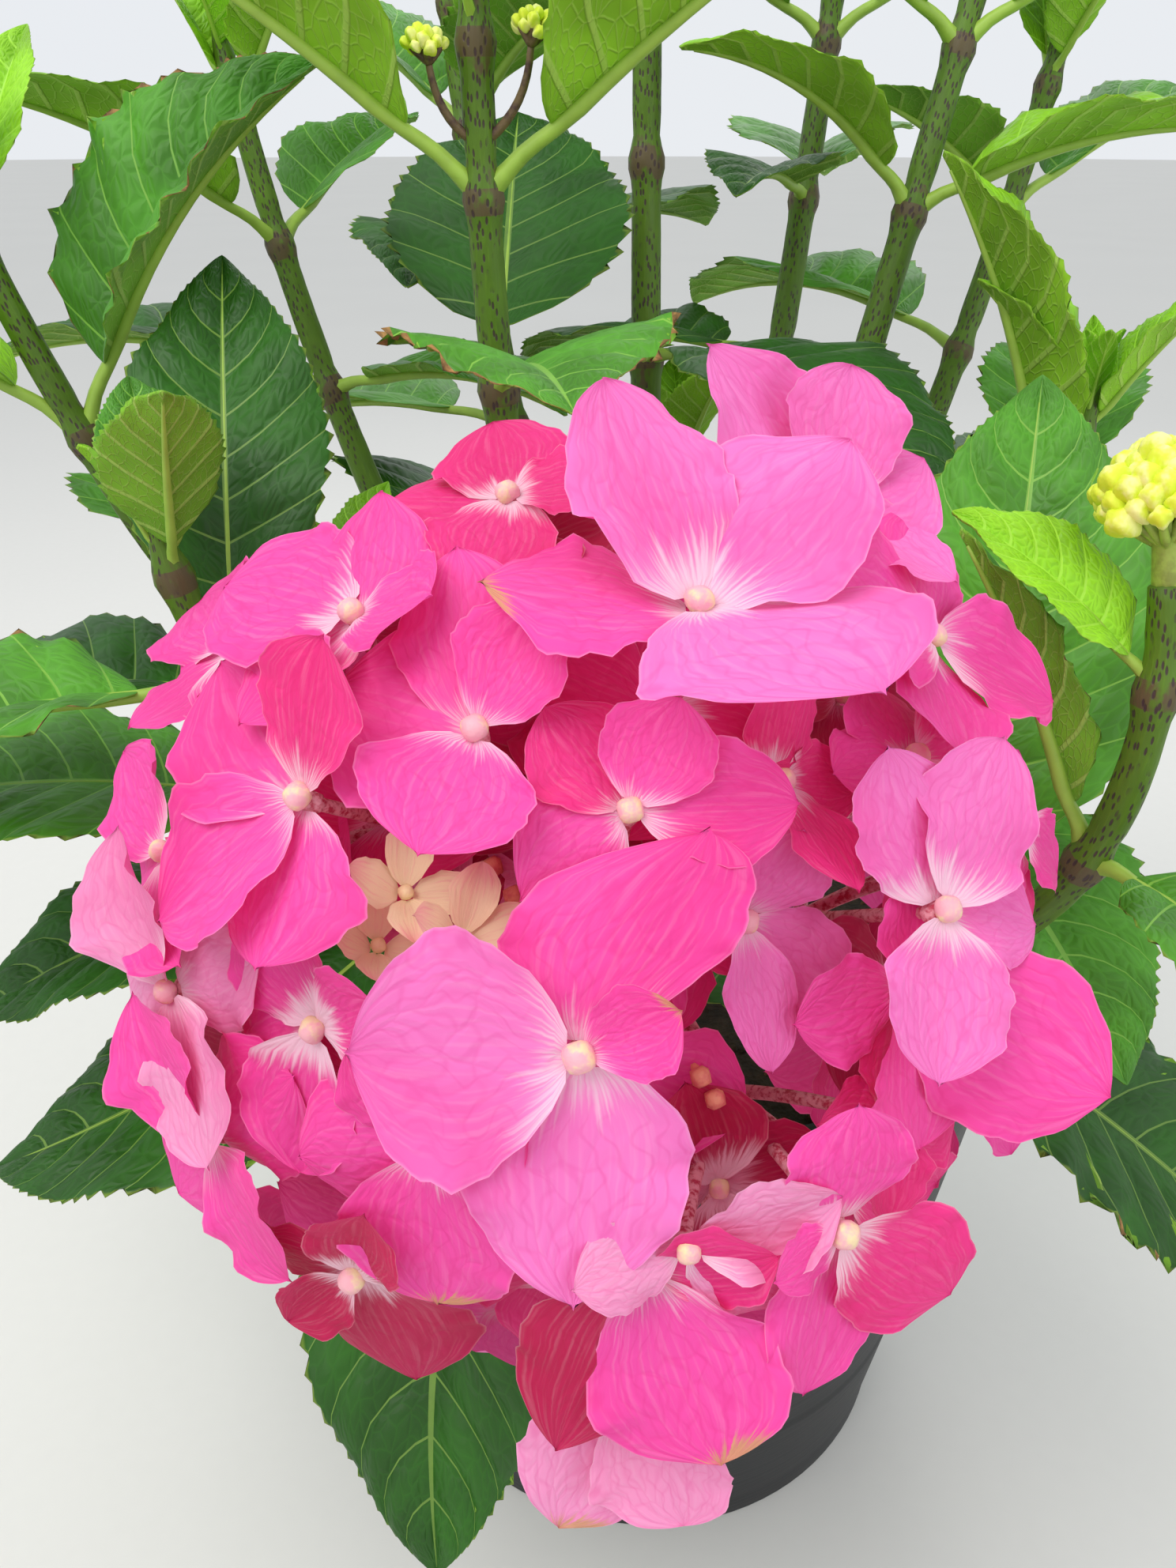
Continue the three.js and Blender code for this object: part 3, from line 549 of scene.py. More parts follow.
class Finish:
    """A material, and the one method that adds its nodes."""

    def __init__(self, name):
        self.material = bpy.data.materials.new(name)
        self.material.use_nodes = True
        self.tree = self.material.node_tree
        self.tree.nodes.clear()
        self.known = {}

    def node(self, kind, settings=None, values=None, output=0):
        """Adds a node: its settings are set first, then the values or links of its sockets."""
        added = self.tree.nodes.new(kind)
        for key, value in (settings or {}).items():
            setattr(added, key, value)
        for key, value in (values or {}).items():
            socket = added.inputs[key]
            if isinstance(value, Wire):
                self.tree.links.new(value.socket, socket)
            elif socket.type == "RGBA" and len(value) == 3:
                socket.default_value = (*value, 1.0)
            else:
                socket.default_value = value
        return Wire(self, added.outputs[output])

    def coordinates(self, kind):
        """The coordinates of a kind, which all patterns of the finish share."""
        if kind not in self.known:
            self.known[kind] = self.node("ShaderNodeTexCoord", output={"UV": 2, "Object": 3}[kind])
        return self.known[kind]

    def chart(self):
        """The map of the face: the place across and the place along."""
        parts = self.node("ShaderNodeSeparateXYZ", values={0: self.coordinates("UV")})
        return parts, parts.out(1)

    def stretched(self, vector, scale):
        return self.node("ShaderNodeMapping", values={0: vector, 3: scale})

    def noise(self, vector, scale, detail, roughness=0.5, flat=False):
        return self.node("ShaderNodeTexNoise", dict(noise_dimensions="2D" if flat else "3D"),
                         {"Vector": vector, "Scale": scale, "Detail": detail, "Roughness": roughness})

    def cells(self, vector, scale, feature="DISTANCE_TO_EDGE", flat=False):
        settings = dict(feature=feature, voronoi_dimensions="2D" if flat else "3D")
        return self.node("ShaderNodeTexVoronoi", settings, {"Vector": vector, "Scale": scale})

    def grain(self, scale, detail, roughness=0.5, stretch=None):
        """Noise all through a piece."""
        at = self.coordinates("Object")
        return self.noise(self.stretched(at, stretch) if stretch else at, scale, detail, roughness)

    def on_map(self, across, along):
        """The map of the face, with its pattern so much finer across and along it."""
        return self.stretched(self.coordinates("UV"), (across, along, 1))

    def threads(self, across, along, detail, roughness=0.5):
        """Noise on the map of the face."""
        return self.noise(self.on_map(across, along), 1.0, detail, roughness, flat=True)

    def drifted(self, vector, scale, reach):
        """A vector moved about by noise, so that a pattern on it wanders."""
        drift = self.noise(vector, scale, 0, flat=True).out(1)
        return self.node("ShaderNodeVectorMath", dict(operation="MULTIPLY_ADD"),
                         {0: drift, 1: (reach, reach, reach), 2: vector})

    def band(self, value, low, high):
        """From 0 at low to 1 at high, smoothly."""
        return self.node("ShaderNodeMapRange", dict(interpolation_type="SMOOTHSTEP"),
                         {0: value, 1: low, 2: high})

    def mix(self, share, first, second):
        return self.node("ShaderNodeMix", dict(data_type="RGBA"), {0: share, 6: first, 7: second}, 2)

    def shades(self, share, colour, dark, light):
        """A darker and a lighter shade of one colour, mixed."""
        return self.mix(share, darker(colour, dark), darker(colour, light))

    def bump(self, height, strength, distance):
        values = {"Strength": strength, "Distance": distance, "Height": height}
        return self.node("ShaderNodeBump", values=values)

    def surface(self, colour, roughness, normal, gloss=0.5, glow=None):
        """Ends the finish: a soft shine over the colour, and the light that comes through a sepal."""
        values = {"Base Color": colour, "Roughness": roughness, "Normal": normal,
                  "Specular IOR Level": gloss}
        shader = self.node("ShaderNodeBsdfPrincipled", values=values)
        if glow:
            lit = self.node("ShaderNodeBsdfTranslucent", values={"Color": glow})
            shader = self.node("ShaderNodeMixShader", values={0: SEPAL_GLOW_SHARE, 1: shader, 2: lit})
        end = self.tree.nodes.new("ShaderNodeOutputMaterial")
        self.tree.links.new(shader.socket, end.inputs["Surface"])
        return self.material


def darker(colour, share):
    """A colour by a share of its light, which may be over 1."""
    return tuple(c * share for c in colour)


def deeper(pink):
    """A richer tone of a pink, as its veins have: its red is kept and its green falls most."""
    return (pink[0] * 0.84, pink[1] * 0.38, pink[2] * 0.62)


def blade_finish(name, colour, roughness):
    """The upper side of a leaf: mottled green, quilted by a net of fine veins, with a pale margin."""
    f = Finish(name)
    across = f.chart()[0]
    cloud = f.grain(48, 1, 0.6)
    edge = f.cells(f.drifted(f.on_map(15, 3.4), 0.6, 0.9), 1.0, flat=True)
    net = f.band(edge, 0.0, 0.1)
    green = f.shades(f.band(cloud, 0.34, 0.66), colour, 0.74, 1.22)
    green = f.mix(f.band(edge, 0.05, 0.4) * 0.2, green, darker(colour, 0.74))
    green = f.mix((1 - net) * 0.2, green, darker(colour, 1.6))
    green = f.mix(f.band(abs(across - 0.5), 0.486, 0.496) * 0.55, green, LEAF_RIM)
    return f.surface(green, roughness + cloud * 0.3, f.bump(f.band(edge, 0.0, 0.4), 0.34, 0.0005), 0.36)


def vein_finish(name, colour):
    """The midrib and the side veins of a leaf, or its stalk."""
    f = Finish(name)
    streak = f.grain(260, 2)
    green = f.shades(streak, colour, 0.8, 1.15)
    return f.surface(green, 0.42 + streak * 0.2, f.bump(streak, 0.3, 0.0003))


def underside_finish(name, colour, pale):
    """The underside of a leaf: paler and duller than the top, with its veins raised on it."""
    f = Finish(name)
    along = f.chart()[1]
    cloud = f.grain(60, 2)
    net = f.band(f.cells(f.on_map(17, 3.6), 1.0, flat=True), 0.0, 0.12)
    off_vein = abs((along + 0.5).fraction() - 0.5)
    vein = 1 - f.band(off_vein, 0.025, 0.075)
    green = f.shades(f.band(cloud, 0.3, 0.7), colour, 0.8, 1.16)
    green = f.mix((1 - net) * 0.4, green, pale)
    green = f.mix(vein * 0.75, green, pale)
    return f.surface(green, 0.62 + cloud * 0.2, f.bump(vein * 1.5 - net * 0.6, 0.6, 0.0004), 0.35)


def dry_finish(colour):
    """The dried margin of a leaf or sepal."""
    f = Finish("dry_margin")
    grain = f.grain(420, 4, 0.7)
    tan = f.shades(f.band(grain, 0.35, 0.7), colour, 0.45, 1.15)
    return f.surface(tan, 0.75 + grain * 0.15, f.bump(grain, 0.6, 0.0005))


def stem_finish(name, colour, dash, ring=None, spread_of_ring=0.0):
    """The skin of a green stem: crowds of dark dashes along it, and brown blotches near a joint."""
    f = Finish(name)
    mottle = f.grain(120, 3, 0.6)
    lines = f.threads(26, 0.16, 2)
    dashes = f.cells(f.on_map(20, 0.3), 1.0, "F1", flat=True)
    crowd = f.threads(3, 0.05, 2)
    mark = (1 - f.band(dashes, 0.17, 0.29)) * f.band(crowd, 0.36, 0.46)
    ground = f.shades(mottle, colour, 0.7, 1.25)
    ground = f.mix(f.band(lines, 0.5, 0.75) * 0.35, ground, darker(colour, 1.5))
    if ring:
        blotch = f.grain(230, 3, 0.6, stretch=(1, 1, 0.6))
        ground = f.mix(f.band(blotch, 0.56 - spread_of_ring, 0.7 - spread_of_ring) * 0.85, ground, ring)
    skin = f.mix(mark * 0.92, ground, dash)
    return f.surface(skin, 0.46 + mottle * 0.2, f.bump(lines * 0.6 - mark * 0.6, 0.5, 0.0004))


def bark_finish(colour):
    """The papery bark of the crown, split lengthwise and peeling."""
    f = Finish("crown_bark")
    strips = f.noise(f.on_map(16, 0.07), 1.0, 5, 0.65)
    cracks = f.band(f.cells(f.on_map(9, 0.05), 1.0), 0.0, 0.12)
    dust = f.grain(240, 4)
    bark = f.shades(f.band(strips, 0.35, 0.68), colour, 0.5, 1.5)
    bark = f.mix((1 - cracks) * 0.8, bark, darker(colour, 0.25))
    bark = f.mix(f.band(dust, 0.5, 0.8) * 0.4, bark, darker(colour, 1.9))
    return f.surface(bark, 0.82 + dust * 0.12, f.bump(strips + cracks, 0.8, 0.0012))


def sepal_finish(name, colour, tanned):
    """A sepal: pale streaks at its claw, soft veins, a thin pale edge, and a tan tip where told."""
    f = Finish(name)
    pale = tuple(0.6 * c + 0.4 for c in colour)
    across, along = f.chart()
    cloud = f.grain(42, 0)
    streak = f.threads(34, 1.8, 1, 0.6)
    wander = f.threads(4, 5, 1)
    off_vein = abs((across * 9 + wander * 2.6).fraction() - 0.5)
    vein = (1 - f.band(off_vein, 0.02, 0.16)) * f.band(along, 0.1, 0.3)
    edge = f.cells(f.drifted(f.on_map(9, 5.5), 0.7, 1.1), 1.0, flat=True)
    net = (1 - f.band(edge, 0.0, 0.13)) * f.band(along, 0.2, 0.5)
    pink = f.mix(f.band(cloud, 0.42, 0.72) * 0.55, colour, deeper(colour))
    pink = f.mix(f.band(streak, 0.46, 0.8) * 0.16, pink, pale)
    pink = f.mix(vein * 0.26, pink, deeper(colour))
    pink = f.mix(net * 0.24, pink, deeper(colour))
    claw = 1 - f.band(along + (streak - 0.5) * 0.34 - (cloud - 0.5) * 0.4, 0.02, 0.25)
    pink = f.mix(claw * 0.8, pink, CLAW_PALE)
    rim = f.band(abs(across - 0.5) + (streak - 0.5) * 0.01, 0.482, 0.497)
    pink = f.mix(rim * 0.35, pink, pale)
    if tanned:
        dry = f.band(along + (across - 0.5) * 0.16 + (streak - 0.5) * 0.2, 0.9, 0.98)
        pink = f.mix(dry * 0.9, pink, f.shades(streak, SEPAL_TAN, 0.7, 1.2))
    relief = f.bump(f.band(edge, 0.0, 0.35), 0.3, 0.0003)
    return f.surface(pink, 0.5 + streak * 0.2, relief, SEPAL_GLOSS, PINK_GLOW)


def cream_finish(colour, tip):
    """A small sepal that is still growing: cream, and pink towards its tip and in its veins."""
    f = Finish("small_floret")
    along = f.chart()[1]
    streak = f.threads(14, 1.6, 3, 0.6)
    cream = f.mix(f.band(along + (streak - 0.5) * 0.5, 0.45, 1.0) * 0.75, colour, tip)
    cream = f.mix(f.band(streak, 0.55, 0.75) * 0.25, cream, tip)
    return f.surface(cream, 0.5 + streak * 0.2, f.bump(streak, 0.3, 0.0003), SEPAL_GLOSS, CREAM_GLOW)


# Small fleshy parts: a colour and that of its freckles, and how fine the freckles are
WAXY = dict(floret_eye=(0xEBA9B4, 0xEAD2A4, 420), floret_stalk=(0xE6A3AE, 0xB9304F, 900),
            small_eye=(0xF4E6B0, 0xE9C9A0, 420), flower_bud=(0xDCEB3C, 0xF0F296, 260),
            bud_stalk=(0xA9BE55, 0x8E9A48, 300), dark_stalk=(0x6E5A3C, 0x4A3232, 400))


def freckled_finish(name, colour, other, scale=220):
    """A small fleshy thing, such as a bud or a stalk, with its two colours in freckles."""
    f = Finish(name)
    freckle = f.grain(scale, 3, 0.6)
    fine = f.grain(4 * scale, 2)
    skin = f.mix(f.band(freckle, 0.42, 0.66), colour, other)
    return f.surface(skin, 0.5 + fine * 0.15, f.bump(freckle + fine * 0.4, 0.35, 0.0004))


def waxy_finish(name):
    """The finish of a fleshy part in the table."""
    colour, freckles, scale = WAXY[name]
    return freckled_finish(name, linear(colour), linear(freckles), scale)


def soil_finish(name, colour):
    """Moist compost, dark and crumbly."""
    f = Finish(name)
    clod = f.grain(160, 6, 0.7)
    grit = f.cells(f.coordinates("Object"), 700, "F1")
    earth = f.shades(f.band(clod, 0.3, 0.72), colour, 0.4, 1.5)
    return f.surface(earth, 0.9 - grit * 0.1, f.bump(clod + grit * 0.4, 0.8, 0.002))


def pot_finish(colour):
    """Black moulded plastic: a dull sheen, faint turning marks, dust and scuffs."""
    f = Finish("pot_plastic")
    dust = f.grain(26, 5, 0.6)
    scuff = f.band(f.grain(90, 4, 0.65, stretch=(1, 1, 9)), 0.62, 0.74)
    turning = f.grain(22, 2, stretch=(0.2, 0.2, 30))
    black = f.mix(f.band(dust, 0.45, 0.8) * 0.4, colour, darker(colour, 3.2))
    black = f.mix(scuff * 0.35, black, darker(colour, 4.5))
    rough = 0.4 + dust * 0.25 + scuff * 0.15
    return f.surface(black, rough, f.bump(turning + dust * 0.4, 0.25, 0.0005))


def floor_finish(colour):
    """A plain floor with faint clouds."""
    f = Finish("floor")
    cloud = f.grain(3, 1)
    grain = f.grain(160, 1)
    pale = f.mix(cloud * 0.5 + grain * 0.3, colour, darker(colour, 0.93))
    return f.surface(pale, 0.8 + grain * 0.1, f.bump(grain, 0.1, 0.0005))


# Lines across a blade on one side of the midrib, and how far the blade bulges at each
LINES = np.array([0.028, 0.15, 0.34, 0.55, 0.75, 0.9, 0.965, 1.0])
BULGE = np.array([0.0, 0.55, 1.0, 1.0, 0.75, 0.4, 0.15, 0.0])
# Which of the top's lines the underside has, counted from one margin to the other
UNDER_LINES = [0, 2, 4, 7, 8, 11, 13, 15]
# A leaf has six side veins on each side, and one more for each of these lengths that it passes
FEWEST_VEINS = 6
VEIN_LENGTHS = (40, 80, 110)
VEIN_HALF = 0.3
TEETH_BETWEEN_VEINS = 3
# Along the blade: its side veins, and the lines nearest its foot
FIRST_VEIN, LAST_VEIN = 0.055, 0.97
BLADE_FOOT = [0.004, 0.014, 0.032]


def blade_rows(leaf, veins):
    """Lines of a blade from foot to tip: place, half a vein, bulge, tooth, and number by the veins."""
    starts = np.linspace(FIRST_VEIN, LAST_VEIN, veins + 1)
    gap = starts[1] - starts[0]
    width = VEIN_HALF / (leaf["length"] * (1 - STALK_SHARE))
    steps = 2 * TEETH_BETWEEN_VEINS
    rows = [(r, 0.0, 0.0, 0.0, (r - FIRST_VEIN) / gap) for r in BLADE_FOOT]
    for number, start in enumerate(starts[:-1]):
        rows += [(start, -width, 0.0, -1.0, number), (start, width, 0.0, -1.0, number)]
        for step in range(1, steps):
            share = step / steps
            rows.append((start + share * gap, 0.0, math.sin(math.pi * share), 1.0 if step % 2 else -1.0,
                         number + share))
    rows += [(LAST_VEIN, 0.0, 0.0, 1.0, veins), (0.988, 0.0, 0.0, 0.0, veins + 0.2)]
    return np.array(rows)


def add_leaf(skin, leaf, rng, settings, tone, dry=0.0):
    """One leaf: a blade quilted between its veins, with a toothed edge, on a stalk."""
    rib = midrib(leaf)
    veins = FEWEST_VEINS + sum(leaf["length"] > passed for passed in VEIN_LENGTHS)
    rows = blade_rows(leaf, veins)
    across = np.concatenate([-LINES[::-1], LINES])
    size = np.abs(across)
    r = rows[:, :1] + rows[:, 1:2] * (1 - 0.6 * size)
    t = r + settings.vein_slant * r * (1 - r) * size ** 1.3
    tooth = rows[:, 3:4] * (size >= 1.0)
    t = np.minimum(t + 0.004 * tooth, 0.996)
    half = half_breadth(leaf, t)
    widest = half.max()
    fade = np.clip(half / (0.35 * widest), 0, 1)
    uneven = 1 + 0.35 * np.sin(2.7 * rows[:, 4:5] + rng.uniform(0, 6))
    half = half * (1 + settings.tooth * tooth * fade * uneven)
    place, side, up = rib(STALK_SHARE + (1 - STALK_SHARE) * t)
    fold = math.radians(leaf["fold"])
    phase = rng.uniform(0, 2 * np.pi, 3)
    bulge = np.concatenate([BULGE[::-1], BULGE])
    lift = half * size * math.sin(fold) - 0.10 * half * size ** 3
    lift = lift + settings.quilting * leaf["length"] * bulge * rows[:, 2:3] * fade
    lift = lift - (size < 0.1) * 0.35
    wave = np.sin(2 * np.pi * 2.4 * t + phase[0] + (across > 0) * 1.9)
    wave = wave + 0.5 * np.sin(2 * np.pi * 5.3 * t + phase[1])
    lift = lift + settings.waviness * leaf["length"] * wave * size ** 3 * fade
    if dry:
        lift = lift + 0.05 * half * size ** 4 * np.sin(2 * np.pi * 9 * t + phase[2])
    reach = np.sign(across) * half * size * math.cos(fold)
    points = place + side * reach[..., None] + up * lift[..., None]
    numbers = skin.spots(points)
    chart = np.stack(np.broadcast_arrays((across + 1) / 2, rows[:, 4:5]), -1)
    strip = np.full((len(rows) - 1, len(across) - 1), 3 * tone + BLADE)
    strip[(rows[:-1, 1] < 0) & (rows[1:, 1] > 0)] = 3 * tone + VEIN
    strip[:, len(LINES) - 1] = 3 * tone + VEIN
    if dry:
        edge = np.convolve(rng.uniform(0, 1, len(rows) - 1), np.ones(3) / 3, "same") < dry
        strip[edge, 0] = FINISH_DRY
        strip[np.roll(edge, 5), -1] = FINISH_DRY
    skin.cover(numbers, strip, chart)
    thick = settings.thickness * 1000
    below = points[:, UNDER_LINES] - up[:, UNDER_LINES] * thick
    under = skin.spots(below[:, 1:-1])
    under = np.hstack([numbers[:, :1], under, numbers[:, -1:]])
    skin.cover(under, 3 * tone + UNDER, chart[:, UNDER_LINES], flip=True)
    foot, tip = rib(STALK_SHARE)[0], rib(1.0)[0]
    for row, where, turn in ((numbers[0], foot, True), (numbers[-1], tip, False)):
        skin.fan(row, where, 3 * tone + BLADE, flip=turn)
    for row, where, turn in ((under[0], foot, False), (under[-1], tip, True)):
        skin.fan(row, where, 3 * tone + UNDER, flip=turn)
    add_stalk(skin, leaf, rib)


def add_stalk(skin, leaf, rib):
    """The leaf stalk, swollen at the joint, which goes on under the blade as its raised rib."""
    s = np.concatenate([np.linspace(0.0, STALK_SHARE, 6), np.linspace(STALK_SHARE, 0.95, 14)[1:]])
    place, _, up = rib(s)
    slim = min(1.9, leaf["length"] / 40)
    inside = np.clip((s - STALK_SHARE) / (1 - STALK_SHARE), 0, 1)
    radius = slim * np.where(inside > 0, 0.8 * (1 - inside) ** 0.8 + 0.12, 1 - 0.2 * s / STALK_SHARE)
    radius = radius * (1 + 0.45 * np.exp(-(s * leaf["length"] / 5) ** 2))
    sink = np.clip((s - 0.12) / 0.08, 0, 1) * (radius * 0.75 + 0.35)
    skin.tube(place - up * sink[:, None], radius, 6, FINISH_STALK)


# Each of the three tones of leaf has three finishes, and stalks and dried margins come after them
BLADE, VEIN, UNDER = range(3)
FINISH_STALK, FINISH_DRY = 9, 10
YOUNG, GROWN, OLD = range(3)
LEAF_TONES = {
    "front": {"0a": OLD, "1a": OLD},
    "centre": {"1a": YOUNG, "1b": YOUNG, "2a": OLD, "2b": GROWN},
    "right": {"0a": YOUNG, "0b": YOUNG, "1a": GROWN, "1b": GROWN, "2a": GROWN, "3a": OLD},
    "left_front": {"0a": GROWN, "0b": GROWN, "1a": GROWN, "1b": OLD, "2a": GROWN, "3a": OLD},
    "left": {"1a": GROWN, "1b": YOUNG},
    "right_back": {"2a": YOUNG, "2b": YOUNG},
}


def leaf_tone(shoot, leaf, rng):
    """How old a leaf looks: as told, or by how far below the tip it stands."""
    shift = rng.uniform(-0.45, 0.45)
    ruled = int(np.clip(round(0.62 * leaf["level"] + shift), YOUNG, OLD))
    return LEAF_TONES.get(shoot.name, {}).get(leaf["key"], ruled)


def young_leaves(shoot):
    """The pairs of young leaves, still upright and folded, above a shoot's highest joint."""
    found = []
    for number, (below, length, rise, fold) in enumerate(YOUNG_LEAVES):
        for half in (0, 1):
            azimuth = shoot.turn - 90 * (number + 1) + 180 * half + 11 * number
            found.append(dict(joint=shoot.place(shoot.length - below), reach=None, swerve=0, roll=0,
                              broad=0.9, fold=fold, azimuth=math.radians(azimuth),
                              rise=math.radians(rise), droop=14, length=length * shoot.size))
    return found


def metres(label, says, default, low=0.0, high=1.0):
    return FloatProperty(name=label, description=says, default=default, min=low, max=high, unit="LENGTH")


def factor(label, says, default, high=1.0):
    return FloatProperty(name=label, description=says, default=default, min=0.0, max=high, subtype="FACTOR")


def tally(label, says, default, low, high):
    return IntProperty(name=label, description=says, default=default, min=low, max=high)


def power(label, says, default):
    return FloatProperty(name=label, description=says, default=default, min=0.0, unit="POWER")


def tint(label, says, on_screen):
    return FloatVectorProperty(name=label, description=says, size=3, default=linear(on_screen), min=0.0,
                               max=1.0, subtype="COLOR")


class LeafSettings(PropertyGroup):
    """Sizes and colours of the leaves."""
    thickness: metres("Thickness", "How thick a blade is", 0.0005, 0.0002, 0.002)
    tooth: factor("Teeth", "How far the teeth stand out, as a share of half the breadth", 0.035, 0.2)
    quilting: factor("Quilting", "How far a blade bulges between its veins, by its length", 0.012, 0.05)
    waviness: factor("Waviness", "How far a margin rises and falls, by its length", 0.012, 0.05)
    vein_slant: factor("Vein slant", "How far the side veins run towards the tip", 0.85, 0.95)
    young: tint("Young leaf", "Colour of the leaves near the tips", 0x86C01E)
    grown: tint("Grown leaf", "Colour of the leaves half way down", 0x4C8C22)
    old: tint("Old leaf", "Colour of the lowest leaves", 0x24580C)
    underside: tint("Underside", "Colour of the undersides", 0x98CC34)
    dry: tint("Dry margin", "Colour of the dried margins", 0xA67C45)


class StemSettings(PropertyGroup):
    """Sizes and colours of the stems and the crown."""
    sides: tally("Sides", "How many sides a stem has", 12, 6, 24)
    joint_swelling: factor("Joint swelling", "How much thicker a stem is at a leaf joint", 0.3)
    green: tint("Green stem", "Colour of the young stem", 0x507208)
    woody: tint("Woody stem", "Colour of the foot of a stem", 0x5F6820)
    ring: tint("Joints", "Colour of a stem at its leaf joints", 0x5A4230)
    dash: tint("Dashes", "Colour of the dark dashes on the stems", 0x3A2428)
    bark: tint("Bark", "Colour of the crown's bark", 0x7A5C3E)


class BloomSettings(PropertyGroup):
    """Sizes and colours of the mophead."""
    rows: tally("Rows", "Rows of faces along a sepal", 22, 6, 30)
    columns: tally("Columns", "Columns of faces across a sepal", 12, 6, 30)
    eye: metres("Eye", "Radius of the bud in the middle of a floret", 0.0019, 0.001, 0.004)
    ruffle: factor("Ruffle", "How far a sepal's margin rises and falls, by its length", 0.052, 0.2)
    hot: tint("Hot pink", "Colour of most sepals", 0xFA52B0)
    # The lilac pink is in part a painted highlight, a paler copy of the pink for sepals in the light, and
    # in part the sepals' own lilac tint.
    lilac: tint("Lilac pink", "Colour of the paler sepals", 0xFC80CE)
    # The rose is in part painted shade, a redder copy of the pink for sepals in shade, and in part the
    # sepals' own warmer tint.
    rose: tint("Rose", "Colour of the warmer sepals", 0xEE388C)
    # The deep pink is painted shade: a dark crimson copy of the pink for sepals that lie in shade.
    deep: tint("Deep pink", "Colour of the darkest sepals", 0xB81E50)
    blush: tint("Blush", "Colour of the pale, folded sepals", 0xF6A0CE)
    cream: tint("Cream", "Colour of the small florets inside", 0xFFF0C4)
    peach: tint("Peach", "Colour of the tiny buds inside", 0xE9A07E)


class PotSettings(PropertyGroup):
    """Sizes and colours of the pot and the compost."""
    height: metres("Height", "Height of the pot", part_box("pot")[1][2])
    rim: metres("Rim", "Radius of the pot's rim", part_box("pot")[1][0])
    foot: metres("Foot", "Radius of the pot's foot", 0.084)
    crumbs: tally("Crumbs", "Crumbs and chips on the compost", 420, 0, 2000)
    plastic: tint("Plastic", "Colour of the pot", 0x1B1C1E)
    earth: tint("Compost", "Colour of the compost", 0x3B2B20)
    fibre: tint("Fibre", "Colour of the bark chips in the compost", 0x7A573A)


class StageSettings(PropertyGroup):
    """The floor, the light and the camera."""
    floor_radius: metres("Floor", "Radius of the floor", 14.0, 1.0, 100.0)
    sky: factor("Sky", "Strength of the light from all round", 0.88, 10.0)
    key: power("Key light", "Power of the large light above", 11.5)
    fill: power("Fill light", "Power of the light at the front right, and of the one behind", 3.0)
    pitch: FloatProperty(name="Pitch", description="How far down the camera looks",
                         default=math.radians(28), subtype="ANGLE")
    lens: FloatProperty(name="Lens", description="Focal length on a sensor 36 mm long", default=29.03,
                        unit="CAMERA")
    pale: tint("Floor colour", "Colour of the floor", 0xDEDDD8)


def lathe(skin, profile, segments):
    """A solid of revolution from a profile that starts and ends on the axis."""
    profile = np.array(profile, float)
    angle = even_turns(segments)
    ring = np.stack([np.cos(angle), np.sin(angle)], -1)
    inner = profile[1:-1]
    points = np.concatenate([inner[:, 0, None, None] * ring[None],
                             np.broadcast_to(inner[:, 1, None, None], (len(inner), segments, 1))], -1)
    skin.close(points, 0, (0, 0, profile[0, 1]), (0, 0, profile[-1, 1]), flip=True)


def rounded(corners, radius, steps=3):
    """A profile with its inner corners rounded off."""
    corners = np.array(corners, float)
    found = [corners[0]]
    for before, corner, after in zip(corners[:-2], corners[1:-1], corners[2:]):
        back, on = before - corner, after - corner
        cut = min(radius, 0.45 * np.linalg.norm(back), 0.45 * np.linalg.norm(on))
        start, end = corner + unit(back) * cut, corner + unit(on) * cut
        for share in np.linspace(0, 1, steps + 1):
            found.append((1 - share) ** 2 * start + 2 * share * (1 - share) * corner + share ** 2 * end)
    found.append(corners[-1])
    return found


class HYDRANGEA_OT_pot(Operator):
    """Turn the plastic pot, with its rolled lip, its moulded rings and the holes in its floor"""
    bl_idname = "hydrangea.pot"
    bl_label = "Pot"

    def execute(self, context):
        s = context.scene.hydrangea_pot
        height, lip, foot = s.height / MM, s.rim / MM, s.foot / MM
        wall, floor = POT["wall"], POT["floor"]
        rim = lip - POT["lip_out"]
        shoulder = height - POT["lip_drop"]

        def inside(z):
            return foot - wall + (rim - foot + wall) * (z - floor) / (height - floor)

        corners = [(0, 0), (foot, 0)]
        for z, stands_out in POT_STEPS:
            corners.append((inside(z) + wall + stands_out, z))
        corners += [(inside(shoulder) + wall, shoulder), (lip, shoulder), (lip - 0.4, height - 3),
                    (lip, height - 1.5), (lip - 1.5, height), (rim, height - 0.5),
                    (inside(height - 6), height - 6), (foot - wall, floor), (0, floor)]
        skin = Skin()
        lathe(skin, rounded(corners, POT["rounding"]), POT_SEGMENTS)
        pot = skin.mesh("pot_shell", [pot_finish(s.plastic)])
        drills = Skin()
        for i in range(POT["drains"]):
            a = 2 * math.pi * i / POT["drains"]
            middle = POT["drain_ring"] * np.array([math.cos(a), math.sin(a), 0])
            drills.tube([middle - 5 * UP, middle, middle + 9 * UP], POT["drain_radius"], 24, 0)
        cutter = drills.mesh("pot_drills", [])
        cut = pot.modifiers.new("drains", "BOOLEAN")
        cut.operation, cut.object, cut.solver = "DIFFERENCE", cutter, "EXACT"
        context.view_layer.update()
        cut_mesh = bpy.data.meshes.new_from_object(pot.evaluated_get(context.evaluated_depsgraph_get()))
        pot.modifiers.clear()
        pot.data = cut_mesh
        pot.data.name = "pot_shell"
        bpy.data.objects.remove(cutter)
        settle(pot, "pot", "pot")
        return {"FINISHED"}


